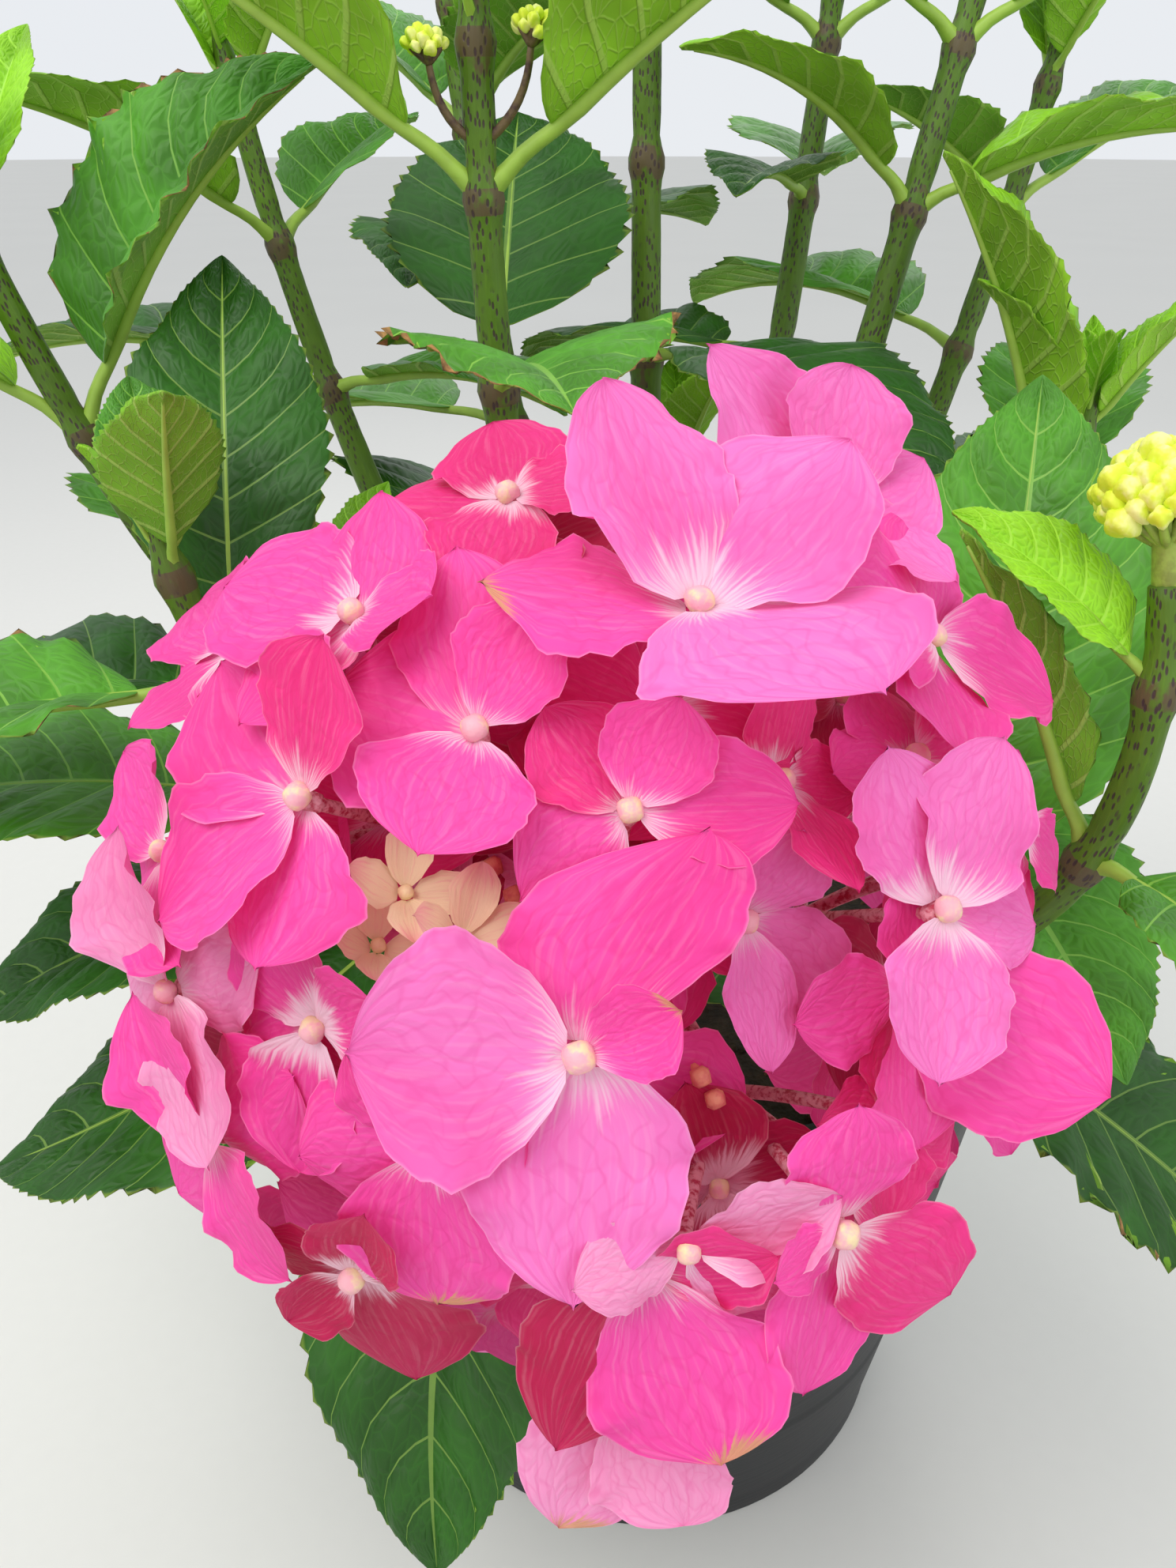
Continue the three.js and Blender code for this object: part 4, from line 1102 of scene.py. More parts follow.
class HYDRANGEA_OT_compost(Operator):
    """Fill the pot with compost, uneven on top and strewn with crumbs and chips of bark"""
    bl_idname = "hydrangea.compost"
    bl_label = "Compost"

    def execute(self, context):
        s = context.scene.hydrangea_pot
        low, high = millimetres("compost")
        rng = np.random.default_rng(SEEDS["compost"])
        edge, top = high[0] - 0.4, high[2]
        rings, sides = 26, 72
        radius = np.linspace(0.04, 1, rings)[:, None] * edge
        angle = even_turns(sides)[None]
        heave = sum(rng.uniform(0.25, 0.6)
                    * np.sin(rng.uniform(0.05, 0.16) * radius * np.cos(angle - turn) + turn * 3)
                    for turn in rng.uniform(0, 6.28, 9))
        clods = rng.uniform(-0.5, 0.5, (rings, sides))
        share = radius / edge
        level = top - 1.2 - SOIL_DIP * np.clip(share - 0.7, 0, 1) / 0.3 + (heave + clods) * (1 - share ** 6)
        surface = np.stack([radius * np.cos(angle), radius * np.sin(angle), np.minimum(level, top + 1)], -1)
        foot = 0.78 * edge
        wall = np.stack([foot * np.cos(angle), foot * np.sin(angle), np.full_like(angle, low[2])], -1)
        skin = Skin()
        skin.close(np.concatenate([surface, wall]), 0, (0, 0, top - 1), (0, 0, low[2]))
        for _ in range(s.crumbs):
            distance = edge * 0.96 * math.sqrt(rng.uniform(0.02, 1))
            turn = rng.uniform(0, 2 * np.pi)
            near = int(np.argmin(np.abs(radius[:, 0] - distance)))
            ground = surface[near, int(turn / (2 * np.pi) * sides) % sides, 2]
            size = rng.uniform(*CRUMB_SIZES)
            middle = np.array([distance * math.cos(turn), distance * math.sin(turn), ground + 0.2 * size])
            axis = pointing(rng.uniform(0, 6.28), rng.uniform(-0.3, 0.3))
            chip = rng.uniform() < CHIP_SHARE
            slim, tall = (0.55, 2.0) if chip else (1, 0.9)
            skin.ball(middle, (size * slim, size * tall), axis, 1 + int(chip), rings=4, sides=5,
                      ribs=rng.uniform(0, 0.25), lobes=2)
        finishes = [soil_finish("compost", s.earth), soil_finish("compost_crumb", darker(s.earth, 1.3)),
                    soil_finish("compost_chip", s.fibre)]
        settle(skin.mesh("compost_fill", finishes), "compost", "compost")
        return {"FINISHED"}


# The skins of a shoot by number, the share of it that is woody, and the step between its rings
SKIN_GREEN, SKIN_WOODY, SKIN_JOINT, SKIN_NEAR_JOINT, SKIN_TIP_BUD = range(5)
WOODY_SHARE = 0.34
RING_STEP = 2.6
# How far a joint's swelling reaches, and the waist above it: its distance, reach and depth
SWELLING_REACH = 3.4
WAIST = dict(above=7, reach=2.5, depth=0.1)


def stem_radius(shoot, along):
    """How thick a stem is: it tapers evenly from its foot to its tip."""
    share = np.clip(along / shoot.length, 0, 1)
    return STEM_FOOT_RADIUS + (STEM_TIP_RADIUS - STEM_FOOT_RADIUS) * share


class HYDRANGEA_OT_crown(Operator):
    """Build the woody crown: a flared stump and an arm of old wood for every shoot"""
    bl_idname = "hydrangea.crown"
    bl_label = "Crown"

    def execute(self, context):
        s = context.scene.hydrangea_stems
        rng = np.random.default_rng(SEEDS["crown"])
        low = millimetres("crown")[0][2]
        skin = Skin()
        levels, sides = 15, 20
        heights = np.linspace(0, CROWN["height"] + 2, levels)
        flare = (CROWN["foot"] - CROWN["neck"]) * np.exp(-heights / 4)
        radii = CROWN["neck"] + flare - 4 * np.clip(heights / CROWN["height"], 0, 1) ** 2
        knots = 1 + 0.07 * np.sin(np.arange(sides) * 2.1 + heights[:, None] * 0.12)
        knots = knots + rng.uniform(-0.03, 0.03, (levels, sides))
        skin.tube((low + heights)[:, None] * UP, radii, sides, 0, bumps=knots)
        for shoot in grown_shoots():
            along = np.linspace(0, CROWN["arm"] + 1.5, 14)
            ridges = 1 + 0.06 * np.sin(np.arange(14) * 1.9 + along[:, None] * 0.2)
            ridges = ridges + rng.uniform(-0.035, 0.035, (14, 14))
            thicker = CROWN["thicker"] * np.clip(1.2 - along / CROWN["arm"], 0, 1) + 0.1
            skin.tube(shoot.place(along), stem_radius(shoot, along) + thicker, 14, 0, bumps=ridges)
        settle(skin.mesh("crown_wood", [bark_finish(s.bark)]), "bark", "crown")
        return {"FINISHED"}


class HYDRANGEA_OT_shoots(Operator):
    """Build every shoot as one stem from the crown to its tip, swollen at its leaf joints"""
    bl_idname = "hydrangea.shoots"
    bl_label = "Shoots"

    def execute(self, context):
        s = context.scene.hydrangea_stems
        leaf = context.scene.hydrangea_leaves
        finishes = [stem_finish("stem_green", s.green, s.dash), stem_finish("stem_woody", s.woody, s.dash),
                    stem_finish("stem_joint", s.green, s.dash, s.ring, 0.2),
                    stem_finish("stem_near_joint", s.green, s.dash, s.ring),
                    freckled_finish("tip_bud", leaf.young, darker(leaf.young, 1.4))]
        for shoot in grown_shoots():
            rng = np.random.default_rng(SEEDS["shoots"] + shoot.number)
            skin = Skin()
            end = shoot.length - (0 if shoot.flowers else 3)
            along = np.arange(CROWN["arm"] - 1, end, RING_STEP)
            radius = stem_radius(shoot, along)
            for below in shoot.joints:
                off = along - (shoot.length - below)
                radius = radius * (1 + s.joint_swelling * np.exp(-(off / SWELLING_REACH) ** 2))
                waist = np.exp(-((off - WAIST["above"]) / WAIST["reach"]) ** 2)
                radius = radius * (1 - WAIST["depth"] * waist)
            if not shoot.flowers:
                radius = radius * (1 - 0.55 * np.clip((along - end + 12) / 12, 0, 1) ** 2)
            ribs = 1 + 0.02 * np.cos(6 * even_turns(s.sides))
            ribs = ribs + rng.uniform(-0.012, 0.012, (len(along), s.sides))
            skins = np.where(along[:-1] < WOODY_SHARE * shoot.length, SKIN_WOODY, SKIN_GREEN)
            for below in shoot.joints:
                off = np.abs(along[:-1] + RING_STEP / 2 - (shoot.length - below))
                skins[off < 7] = SKIN_NEAR_JOINT
                skins[off < 3] = SKIN_JOINT
            skin.tube(shoot.place(along), radius, s.sides, skins, bumps=ribs)
            if not shoot.flowers:
                tip = shoot.direction(shoot.length)
                skin.ball(shoot.place(end) + 1.5 * tip, (1.9, 4.6), tip, SKIN_TIP_BUD, rings=7, sides=10,
                          ribs=0.12, lobes=2)
            settle(skin.mesh(f"shoot_{shoot.name}", finishes), "green_stem", f"stem_{shoot.name}")
        return {"FINISHED"}


class HYDRANGEA_OT_leaves(Operator):
    """Grow the leaves of every shoot by the rule of its joints, with the young ones at its tip"""
    bl_idname = "hydrangea.leaves"
    bl_label = "Leaves"

    def execute(self, context):
        s = context.scene.hydrangea_leaves
        finishes = []
        for name, roughness in (("young", 0.34), ("grown", 0.36), ("old", 0.38)):
            colour = getattr(s, name)
            vein = tuple(0.76 * c + 0.24 * p for c, p in zip(darker(colour, 1.4), LEAF_VEIN))
            under = tuple(0.54 * c + 0.46 * u for c, u in zip(colour, s.underside))
            pale = tuple(0.45 * c + 0.55 * p for c, p in zip(under, UNDERSIDE_VEIN))
            finishes += [blade_finish(f"leaf_{name}", colour, roughness), vein_finish(f"vein_{name}", vein),
                         underside_finish(f"underside_{name}", under, pale)]
        finishes += [vein_finish("leaf_stalk", LEAF_STALK), dry_finish(s.dry)]
        for shoot in grown_shoots():
            rng = np.random.default_rng(SEEDS["leaves"] + shoot.number)
            skin = Skin()
            for leaf in shoot.leaves:
                dry = DRY_LEAVES.get(shoot.name, {}).get(leaf["key"], 0.0)
                add_leaf(skin, leaf, rng, s, leaf_tone(shoot, leaf, rng), dry)
            for leaf in [] if shoot.flowers else young_leaves(shoot):
                add_leaf(skin, leaf, rng, s, YOUNG)
            settle(skin.mesh(f"leaves_{shoot.name}", finishes), "foliage", f"foliage_{shoot.name}")
        return {"FINISHED"}


# The florets that face the front: how far across and up the face of the head each stands, how
# far it is sunk, its turn, its sepals' length, an extra lean across and up, and its pink.
# Where its sepals are told one by one, each row is a turn, length, breadth and lift, and may go
# on with how far its tip leans aside and where it is widest (less than 1 is nearer the claw).
# Of these pinks, lilac is in part a painted highlight, rose is in part painted shade, and the deep pink is
# painted shade.
HOT, LILAC, ROSE, SHADED_PINK, BLUSH, TANNED, PALE_TANNED = range(7)
# Sepals that aren't the pink of their floret, by the number of the floret and of the sepal in it
OTHER_PINKS = {0: {2: TANNED}, 6: {3: ROSE}, 7: {0: ROSE}, 14: {0: HOT, 3: TANNED}, 16: {1: TANNED},
               17: {1: ROSE}, 19: {0: SHADED_PINK, 1: TANNED}, 20: {0: PALE_TANNED}}
FLORETS = [
    (11, 39, 0, 12, 27, 0.0, 0.55, LILAC,
     [(43, 29, 27, 38, -0.1), (120, 30, 25, 42), (177, 27, 29, 15), (-62, 26, 40, 6, 0.25)]),
    (32, 59, 6, 50, 25, 0.1, 0.0, LILAC,
     [(138, 29, 28, 32), (84, 20, 21, 36), (28, 20, 23, 26), (-40, 20, 17, 4)]),
    (-14, 58, 4, 80, 22, 0.0, 0.1, ROSE,
     [(104, 15, 20, 14), (262, 17, 18, -6), (172, 17, 18, 0), (10, 13, 15, 0)]),
    (-16, 50, 12, 30, 21, -0.2, 0.1, SHADED_PINK, []),
    (-34, 40, 2, 20, 25, -0.2, 0.3, HOT,
     [(86, 18, 19, 24), (163, 27, 26, 12), (235, 20, 20, 0), (-10, 16, 18, 8)]),
    (-17, 23, 2, 35, 23, 0.1, 0.1, HOT,
     [(98, 25, 20, 12), (56, 16, 16, 22), (158, 21, 28, 2), (-108, 17, 23, 0)]),
    (-39, 15, 0, 10, 25, -0.1, 0.1, HOT,
     [(133, 28, 31, 6), (212, 28, 24, 0), (260, 21, 24, 0), (64, 20, 19, 30)]),
    (2, 13, 4, 5, 21, 0.1, 0.0, HOT,
     [(128, 16, 16, 6), (2, 20, 16, 4), (208, 16, 20, 0, 0.2), (66, 14, 15, 14)]),
    (7, 27, 13, 45, 22, 0.0, 0.0, ROSE,
     [(75, 17, 26, 0), (160, 18, 18, 0), (250, 18, 18, 0), (340, 18, 18, 0)]),
    (22, 18, 12, 70, 20, 0.5, 0.0, ROSE,
     [(90, 16, 12, 30), (280, 17, 12, 30), (190, 13, 12, 0), (0, 13, 12, 0)]),
    (42, 1, 2, 15, 24, 0.1, 0.1, LILAC,
     [(108, 21, 20, 8), (62, 25, 19, 4), (-4, 21, 14, 0), (262, 21, 23, 0)]),
    (39, -9, 10, 40, 27, 0.2, -0.3, HOT,
     [(-22, 31, 26, 34), (-75, 22, 20, 8), (200, 16, 16, 0), (100, 16, 16, 0)]),
    (42, 22, 12, 60, 22, 0.2, 0.3, HOT,
     [(100, 12, 18, 6), (20, 16, 16, 0), (190, 14, 14, 0), (280, 14, 14, 0)]),
    (17, 0, 14, 25, 21, 0.3, -0.3, LILAC,
     [(72, 14, 17, 26), (156, 14, 12, 30), (-36, 20, 17, 8), (-78, 19, 11, 20)]),
    (-4, -16, 0, 34, 30, 0.0, 0.0, LILAC,
     [(85, 27, 28, 0, -0.5), (178, 26, 31, 4), (268, 31, 28, 2, 0, 0.82), (28, 13, 12, 18)]),
    (-38, -14, 8, 75, 23, -0.2, -0.2, HOT,
     [(198, 18, 19, 4), (250, 21, 20, 0), (122, 17, 17, 8), (20, 15, 14, 10)]),
    (-23, -28, 5, 60, 25, -0.1, -0.2, HOT,
     [(192, 20, 20, 4), (262, 24, 25, 2), (118, 15, 14, 12), (20, 15, 16, 0)]),
    (28, -38, 0, 40, 26, 0.1, -0.1, HOT,
     [(96, 17, 18, 14), (-32, 24, 20, 0), (274, 26, 17, 4), (205, 10, 10, 6)]),
    (38, -27, 14, 10, 24, 0.3, 0.0, ROSE,
     [(84, 15, 18, 0), (0, 14, 15, 0), (180, 12, 13, 0), (270, 13, 13, 0)]),
    (4, -43, 5, 46, 28, 0.0, -0.3, ROSE,
     [(246, 27, 22, 22, 0, 0.95), (292, 28, 26, 22, 0, 1.2), (172, 13, 16, 10), (20, 16, 14, 6)]),
    (3, -62, 8, 15, 22, -0.1, -0.3, BLUSH,
     [(243, 24, 21, 26), (290, 20, 20, 20), (196, 12, 12, 10), (20, 12, 12, 0)]),
    (-34, -47, 8, 25, 25, -0.1, -0.4, SHADED_PINK,
     [(172, 18, 10, 4), (212, 14, 11, 8), (268, 24, 26, 0), (60, 16, 14, 0)]),
    (-66, 10, 8, 40, 22, -0.4, 0.0, HOT, []),
    (-60, 44, 8, 60, 22, -0.2, 0.2, HOT, []),
    (-62, -10, 6, 10, 22, -0.3, -0.2, BLUSH, []),
    (46, 40, 8, 80, 23, 0.3, 0.1, HOT, []),
    (-56, -31, 8, 30, 22, -0.3, -0.2, HOT, []),
    (-22, 2, 24, 15, 12, 0.0, 0.0, BLUSH, []),
    (62, 14, 14, 20, 22, 0.3, 0.0, HOT,
     [(60, 14, 14, 0), (150, 14, 14, 0), (240, 15, 14, 0), (330, 13, 14, 0)]),
    (60, -22, 19, 55, 22, 0.4, -0.2, HOT,
     [(4, 20, 24, 12), (-70, 14, 15, 0), (100, 17, 15, 0), (190, 13, 13, 0)]),
    (9, -40, 2, 10, 18, 0.1, 0.1, BLUSH,
     [(196, 14, 12, 10), (22, 19, 14, 12), (-30, 15, 12, 4)]),
]


def floret_frames():
    """Where every floret stands, which way it faces, its turn, size, pink and told sepals."""
    found = []
    for number, (u, v, sunk, spin, size, lean_across, lean_up, pink, told) in enumerate(FLORETS):
        normal = unit(HEAD_OUT + HEAD_ACROSS * (HEAD["lean"] * u / HEAD["across"] + lean_across)
                      + HEAD_UP * (HEAD["lean"] * v / HEAD["tall"] + lean_up))
        centre = on_head(u, v, dome(u, v) - sunk)
        found.append(dict(centre=centre, normal=normal, spin=spin, size=size, pink=pink, told=told,
                          pinks=OTHER_PINKS.get(number, {}), shaded=False))
    for ring in RINGS:
        for i in range(ring["count"]):
            a = 2 * math.pi * (i + 0.5) / ring["count"]
            centre = on_head(ring["across"] * math.cos(a), ring["tall"] * math.sin(a), -ring["back"])
            if min(np.linalg.norm(f["centre"] - centre) for f in found) < FLORET_SPACING:
                continue
            outward = HEAD_ACROSS * math.cos(a) + HEAD_UP * math.sin(a)
            found.append(dict(centre=centre, normal=unit(outward - HEAD_OUT * ring["behind"]),
                              spin=RING_SPIN * i, size=ring["sepal"], pink=(HOT, ROSE, LILAC)[i % 3],
                              told=[], pinks={}, shaded=False))
    return found


def add_sepal(skin, floret, told, rng, settings, finish, layer, coarse=False):
    """One sepal, a claw that widens fast to a wavy blade, told by its turn, length, breadth and so on."""
    turn, length, breadth, lift, skew, widest = (*told, *(0.0, rng.uniform(0.95, 1.2))[len(told) - 4:])
    normal = floret["normal"]
    side = unit(np.cross(HEAD_UP, normal))
    up = np.cross(normal, side)
    a = math.radians(turn)
    out, across = side * math.cos(a) + up * math.sin(a), up * math.cos(a) - side * math.sin(a)
    rows, columns = (settings.rows // 2, 8) if coarse else (settings.rows, settings.columns)
    x = np.linspace(0.02, 0.997, rows + 1)
    s = (0.5 * x + 0.5 * np.sin(np.pi / 2 * x))[:, None]
    w = np.sin(np.pi / 2 * np.linspace(-1, 1, columns + 1))[None]
    phase = rng.uniform(0, 2 * np.pi, 6)
    half = 0.5 * breadth * np.sin(np.pi * s ** widest) ** (0.57 + 0.14 * s ** 2)
    half = half * (1 + 0.03 * np.sin(5 * np.pi * s + phase[0] + w)
                   + 0.018 * np.sin(13 * np.pi * s + phase[1] * w))
    bend = math.radians(lift) + math.radians(rng.uniform(-28, 6)) * s ** 1.4
    step = np.diff(np.concatenate([[[0.0]], s]), axis=0) * length
    run = 0.8 + np.cumsum(step * np.cos(bend), axis=0) + 0.03 * length * (1 - np.abs(w)) ** 1.5 * s ** 5
    rise = layer * (1 + 1.2 * s) + np.cumsum(step * np.sin(bend), axis=0)
    cup = math.radians(rng.uniform(0, 18) if layer else rng.uniform(-14, 2))
    twist = math.radians(rng.uniform(-10, 10)) * s
    ruffle = np.sin(2 * np.pi * 1.3 * s + phase[2] + (w > 0) * phase[3])
    ruffle = ruffle + 0.5 * np.sin(6.3 * np.pi * s + phase[4])
    ruffle = ruffle + 0.22 * np.sin(12.6 * np.pi * s + phase[5] + (w > 0) * phase[4])
    height = rise + half * np.abs(w) ** 1.6 * math.sin(cup) + half * w * np.sin(twist)
    hem = np.abs(w) ** 3 * np.sin(np.pi * np.clip(s, 0, 1) ** 0.8)
    height = height + settings.ruffle * length * ruffle * hem
    height = height + 0.02 * length * np.sin(3.1 * w + phase[5]) * np.sin(np.pi * s)
    height = height - 0.3 * (1 - np.abs(w)) ** 3
    aside = half * w + skew * length * s ** 2
    points = floret["centre"] + out * run[..., None] + across * aside[..., None]
    points = points + normal * height[..., None]
    chart = np.stack(np.broadcast_arrays((w + 1) / 2, s), -1)
    skin.cover(skin.spots(points), finish, chart)


def told_sepals(floret, rng):
    """The sepals of a floret that are told one by one, or four dealt round it by its turn."""
    if floret["told"]:
        return floret["told"]
    found = []
    for k in range(4):
        length = floret["size"] * (1.06 if k % 2 else 0.96) * rng.uniform(0.92, 1.06)
        turn = floret["spin"] + 90 * k + rng.uniform(-12, 12)
        found.append((turn, length, length * rng.uniform(0.86, 1.05), rng.uniform(0, 14)))
    return found


def route(start, end, bulge, steps):
    """Places on an even arc from one point to another."""
    t = np.linspace(0, 1, steps)[:, None]
    middle = (start + end) / 2 + bulge
    return (1 - t) ** 2 * start + 2 * t * (1 - t) * middle + t ** 2 * end


def inner_florets(rng):
    """A second, shaded layer of florets behind the first, so that the head is full."""
    found = []
    for i in range(INNER["count"]):
        polar = math.sqrt((i + 0.5) / INNER["count"])
        a = i * GOLDEN_ANGLE
        u, v = INNER["across"] * polar * math.cos(a), INNER["tall"] * polar * math.sin(a)
        if any(math.hypot(u - across, v - up) < radius for across, up, radius in HOLLOWS):
            continue
        depth = dome(u, v) - INNER["sunk"]
        normal = unit(HEAD_OUT + HEAD_ACROSS * u / 60 + HEAD_UP * v / 70 + rng.uniform(-0.2, 0.2, 3))
        # A third of these shaded florets wear the deep pink as painted shade, and a third wear the rose,
        # which is in part painted shade.
        found.append(dict(centre=on_head(u, v, depth), normal=normal, spin=rng.uniform(0, 90),
                          size=INNER["sepal"], pink=(ROSE, SHADED_PINK, HOT)[i % 3], told=[], pinks={},
                          shaded=True))
    return found


class HYDRANGEA_OT_mophead(Operator):
    """Make the open mophead: its florets of four sepals, their eyes, and the rays that carry them"""
    bl_idname = "hydrangea.mophead"
    bl_label = "Mophead"

    def execute(self, context):
        s = context.scene.hydrangea_bloom
        rng = np.random.default_rng(SEEDS["mophead"])
        sepals, eyes, stalks = Skin(), Skin(), Skin()
        florets = floret_frames()
        inner = inner_florets(rng)
        for floret in florets + inner:
            for k, told in enumerate(told_sepals(floret, rng)):
                pink = floret["pinks"].get(k, floret["pink"])
                add_sepal(sepals, floret, told, rng, s, pink, 1.1 * (k % 2), coarse=floret["shaded"])
            eye = s.eye / MM * (floret["size"] / 25) ** 0.5
            middle = floret["centre"] + floret["normal"] * (eye * 0.9)
            eyes.ball(middle, (eye, eye * 0.92), floret["normal"], 0, rings=8, sides=16, ribs=0.06)
        steps = 9
        base = on_head(*RAYS["start"])
        ends = [on_head(RAYS["across"] * math.cos(a), RAYS["tall"] * math.sin(a), RAYS["depth"])
                for a in even_turns(RAYS["count"])]
        ends.append(on_head(*RAYS["middle"]))
        for end in ends:
            stalks.tube(route(base, end, HEAD_OUT * -3, steps), np.linspace(*RAYS["thick"], steps), 9, 0)
        for floret in florets + inner:
            foot = floret["centre"] - floret["normal"] * 0.8
            near = min(ends, key=lambda end: np.linalg.norm(end - foot))
            places = route(near, foot, -6 * floret["normal"], steps)
            stalks.tube(places, np.linspace(*RAYS["stalk"], steps), 7, 0)
            stalks.ball(foot - 0.6 * floret["normal"], (1.7, 1.5), floret["normal"], 0, rings=5, sides=8)
        finishes = [sepal_finish(f"sepal_{name}", getattr(s, name.split("_")[0]), "tanned" in name)
                    for name in ("hot", "lilac", "rose", "deep", "blush", "hot_tanned", "blush_tanned")]
        settle(sepals.mesh("bloom_sepals", finishes), "bloom", "bloom")
        settle(eyes.mesh("bloom_eyes", [waxy_finish("floret_eye")]), "bloom", "bloom")
        settle(stalks.mesh("bloom_stalks", [waxy_finish("floret_stalk")]), "bloom", "bloom")
        self.small_florets(s, rng)
        return {"FINISHED"}

    def small_florets(self, s, rng):
        """The small cream florets and peach buds in the hollow at the left of the head."""
        small, buds = Skin(), Skin()
        for u, v, depth, size in SMALL_FLORETS:
            normal = unit(HEAD_OUT + HEAD_ACROSS * rng.uniform(-0.4, 0.4) + HEAD_UP * rng.uniform(0, 0.5))
            floret = dict(centre=on_head(u, v, depth), normal=normal)
            for k in range(4):
                turn, lift = 90 * k + rng.uniform(-14, 14), rng.uniform(24, 64)
                told = (turn, size, size * 0.72, lift, rng.uniform(-0.15, 0.15))
                add_sepal(small, floret, told, rng, s, 0, 0.5 * (k % 2), coarse=True)
            buds.ball(floret["centre"] + normal, (1.1, 1.1), normal, 1, rings=6, sides=12, ribs=0.06)
        for u, v, depth in SMALL_BUDS:
            middle = on_head(u, v, depth)
            buds.tube(route(on_head(0.6 * u, 0.6 * v, 8), middle, -2 * HEAD_OUT, 6), 0.6, 6, 0)
            buds.ball(middle, (1.5, 1.6), HEAD_OUT, 0, rings=6, sides=10, ribs=0.1)
        cream = cream_finish(s.cream, CREAM_TIP)
        peach = freckled_finish("small_bud", s.peach, PEACH_FRECKLES, 500)
        settle(small.mesh("bloom_small_florets", [cream]), "bloom", "bloom")
        settle(buds.mesh("bloom_small_buds", [peach, waxy_finish("small_eye")]), "bloom", "bloom")


def bud_cluster(skin, foot, axis, rng, count, reach, size):
    """A domed cluster of flower buds on branching stalks."""
    axis = unit(axis)
    side = unit(np.cross(axis, np.array([0.2, 0.9, 0.1])))
    other = np.cross(axis, side)
    for i in range(count):
        z = 1 - 1.25 * (i + 0.5) / count
        a = i * GOLDEN_ANGLE
        level = math.sqrt(max(0.0, 1 - z * z))
        outward = axis * z * 0.8 + (side * math.cos(a) + other * math.sin(a)) * level
        middle = foot + axis * reach * 0.9 + outward * reach * rng.uniform(0.82, 1.06)
        bud = size * rng.uniform(0.75, 1.2)
        skin.ball(middle, (bud * 0.95, bud * 1.3), unit(outward + 0.5 * axis), 0, rings=8, sides=16,
                  ribs=0.17)
        if i % 2 == 0:
            start = foot + axis * reach * 0.2
            skin.tube(route(start, middle, axis * -0.1 * reach, 6), np.linspace(1.0, 0.6, 6), 6, 1)


class HYDRANGEA_OT_buds(Operator):
    """Make the unopened flower head on the right shoot and the two small ones by the centre shoot"""
    bl_idname = "hydrangea.buds"
    bl_label = "Flower buds"

    def execute(self, context):
        rng = np.random.default_rng(SEEDS["buds"])
        shoots = {shoot.name: shoot for shoot in grown_shoots()}
        green, stalk, dark = (waxy_finish(name) for name in ("flower_bud", "bud_stalk", "dark_stalk"))
        right = shoots["right"]
        skin = Skin()
        tip, axis = right.place(right.length), right.direction(right.length)
        skin.tube(np.array([tip - 3 * axis, tip + 3 * axis, tip + 9 * axis]), 2.6, 10, 1)
        bud_cluster(skin, tip + 3 * axis, axis, rng, **BUD_CLUSTER)
        settle(skin.mesh("flower_buds", [green, stalk]), "flower_bud", "flower_bud")
        centre = shoots["centre"]
        skin = Skin()
        start = centre.place(centre.length - SMALL_CLUSTERS_BELOW)
        for reach in np.array(SMALL_CLUSTER_STALKS, float):
            bulge = np.array([reach[0] * 0.4, 0, -3.0])
            skin.tube(route(start, start + reach, bulge, 10), np.linspace(1.1, 0.7, 10), 7, 1)
            bud_cluster(skin, start + reach, UP + 0.3 * unit(reach), rng, **SMALL_CLUSTER)
        settle(skin.mesh("small_flower_buds", [green, dark]), "flower_bud", "foliage_centre")
        return {"FINISHED"}


CAMERA_PLACE = (-0.020, -0.330, 0.400)
LIT_MIDDLE = (0.0, -0.06, 0.3)
# Each light by name: its place, its size, the setting of its power, and its colour
LIGHTS = dict(key=((-0.55, -0.55, 1.35), 1.1, "key", (1.0, 0.98, 0.95)),
              fill=((0.9, -0.8, 0.7), 0.9, "fill", (0.95, 0.97, 1.0)),
              back=((0.2, 1.0, 1.1), 0.9, "fill", (1.0, 1.0, 1.0)))
SKY_COLOUR = (0.93, 0.96, 1.0, 1.0)


def add_light(name, place, size, power, colour):
    """A round soft light that shines on the middle of the plant."""
    data = bpy.data.lights.new(name, "AREA")
    data.shape, data.size, data.energy, data.color = "DISK", size, power, colour
    light = bpy.data.objects.new(name, data)
    light.location = place
    light.rotation_euler = (Vector(LIT_MIDDLE) - Vector(place)).to_track_quat("-Z", "Y").to_euler()
    bpy.context.scene.collection.objects.link(light)


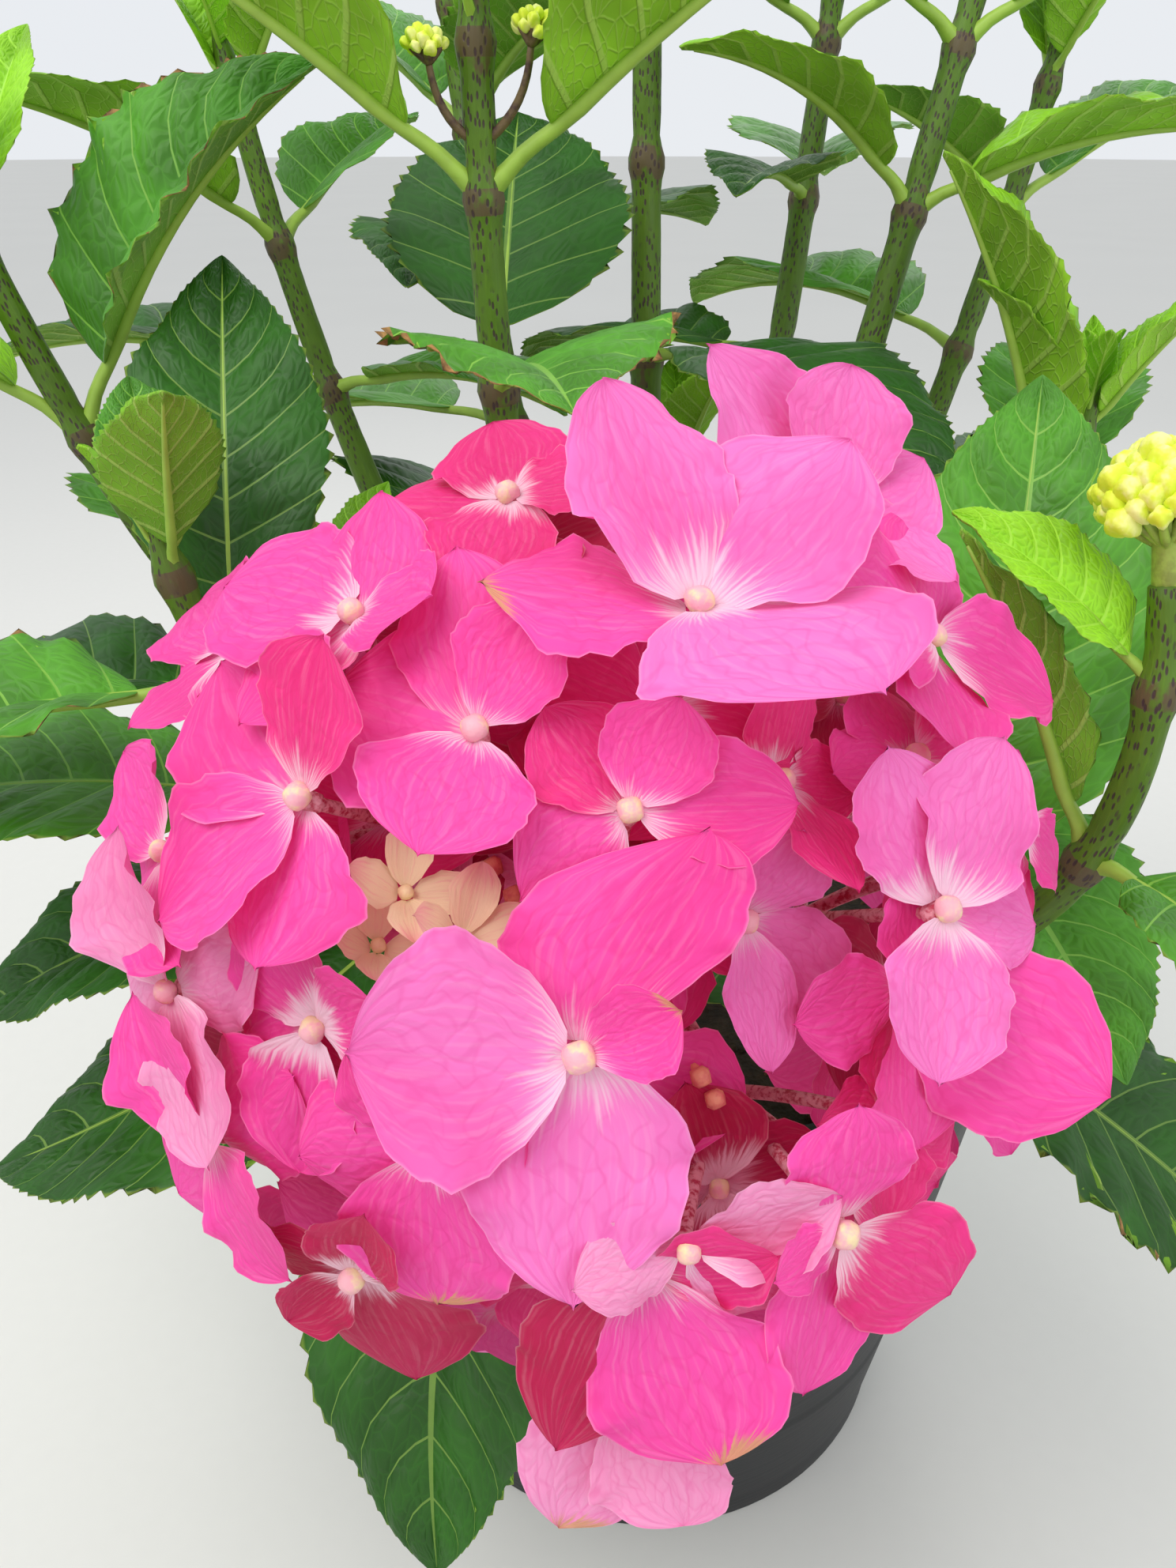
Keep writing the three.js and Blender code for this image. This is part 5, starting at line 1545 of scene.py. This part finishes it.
class HYDRANGEA_OT_stage(Operator):
    """Lay the plain pale floor, and set the soft light and the camera"""
    bl_idname = "hydrangea.stage"
    bl_label = "Stage"

    def execute(self, context):
        s = context.scene.hydrangea_stage
        scene = context.scene
        skin = Skin()
        radius, deep = s.floor_radius / MM, 20
        lathe(skin, [(0, -deep), (radius, -deep), (radius, 0), (0, 0)], 64)
        floor = skin.mesh("floor", [floor_finish(s.pale)], smooth=False)
        world = bpy.data.worlds.new("studio")
        world.use_nodes = True
        backdrop = world.node_tree.nodes["Background"]
        backdrop.inputs["Color"].default_value = SKY_COLOUR
        backdrop.inputs["Strength"].default_value = s.sky
        scene.world = world
        for name, (place, size, power_setting, colour) in LIGHTS.items():
            add_light(name, place, size, getattr(s, power_setting), colour)
        data = bpy.data.cameras.new("camera")
        data.sensor_width, data.sensor_fit, data.lens = 36.0, "AUTO", s.lens
        data.clip_start = 0.01
        camera = bpy.data.objects.new("camera", data)
        camera.location = CAMERA_PLACE
        camera.rotation_euler = (math.pi / 2 - s.pitch, 0.0, 0.0)
        scene.collection.objects.link(camera)
        scene.camera = camera
        scene.view_settings.view_transform = "Standard"
        return {"FINISHED"}


STEPS = (HYDRANGEA_OT_pot, HYDRANGEA_OT_compost, HYDRANGEA_OT_crown, HYDRANGEA_OT_shoots,
         HYDRANGEA_OT_leaves, HYDRANGEA_OT_mophead, HYDRANGEA_OT_buds, HYDRANGEA_OT_stage)
SETTINGS = dict(hydrangea_leaves=LeafSettings, hydrangea_stems=StemSettings, hydrangea_bloom=BloomSettings,
                hydrangea_pot=PotSettings, hydrangea_stage=StageSettings)


class HYDRANGEA_PT_panel(Panel):
    """Lists the pieces of the plant with their sizes and colours"""
    bl_idname = "HYDRANGEA_PT_panel"
    bl_label = "Potted hydrangea"
    bl_space_type = "VIEW_3D"
    bl_region_type = "UI"
    bl_category = "Hydrangea"

    def draw(self, context):
        for step in STEPS:
            self.layout.operator(step.bl_idname)
        for key, group in SETTINGS.items():
            box = self.layout.box()
            box.label(text=group.__doc__)
            for name in group.__annotations__:
                box.prop(getattr(context.scene, key), name)


CLASSES = (*SETTINGS.values(), *STEPS, HYDRANGEA_PT_panel)


def register():
    for each in CLASSES:
        bpy.utils.register_class(each)
    for key, group in SETTINGS.items():
        setattr(Scene, key, PointerProperty(type=group))


def unregister():
    for key in SETTINGS:
        delattr(Scene, key)
    for each in reversed(CLASSES):
        bpy.utils.unregister_class(each)


def main():
    register()
    for step in STEPS:
        group, name = step.bl_idname.split(".")
        getattr(getattr(bpy.ops, group), name)()


if __name__ == "__main__":
    main()
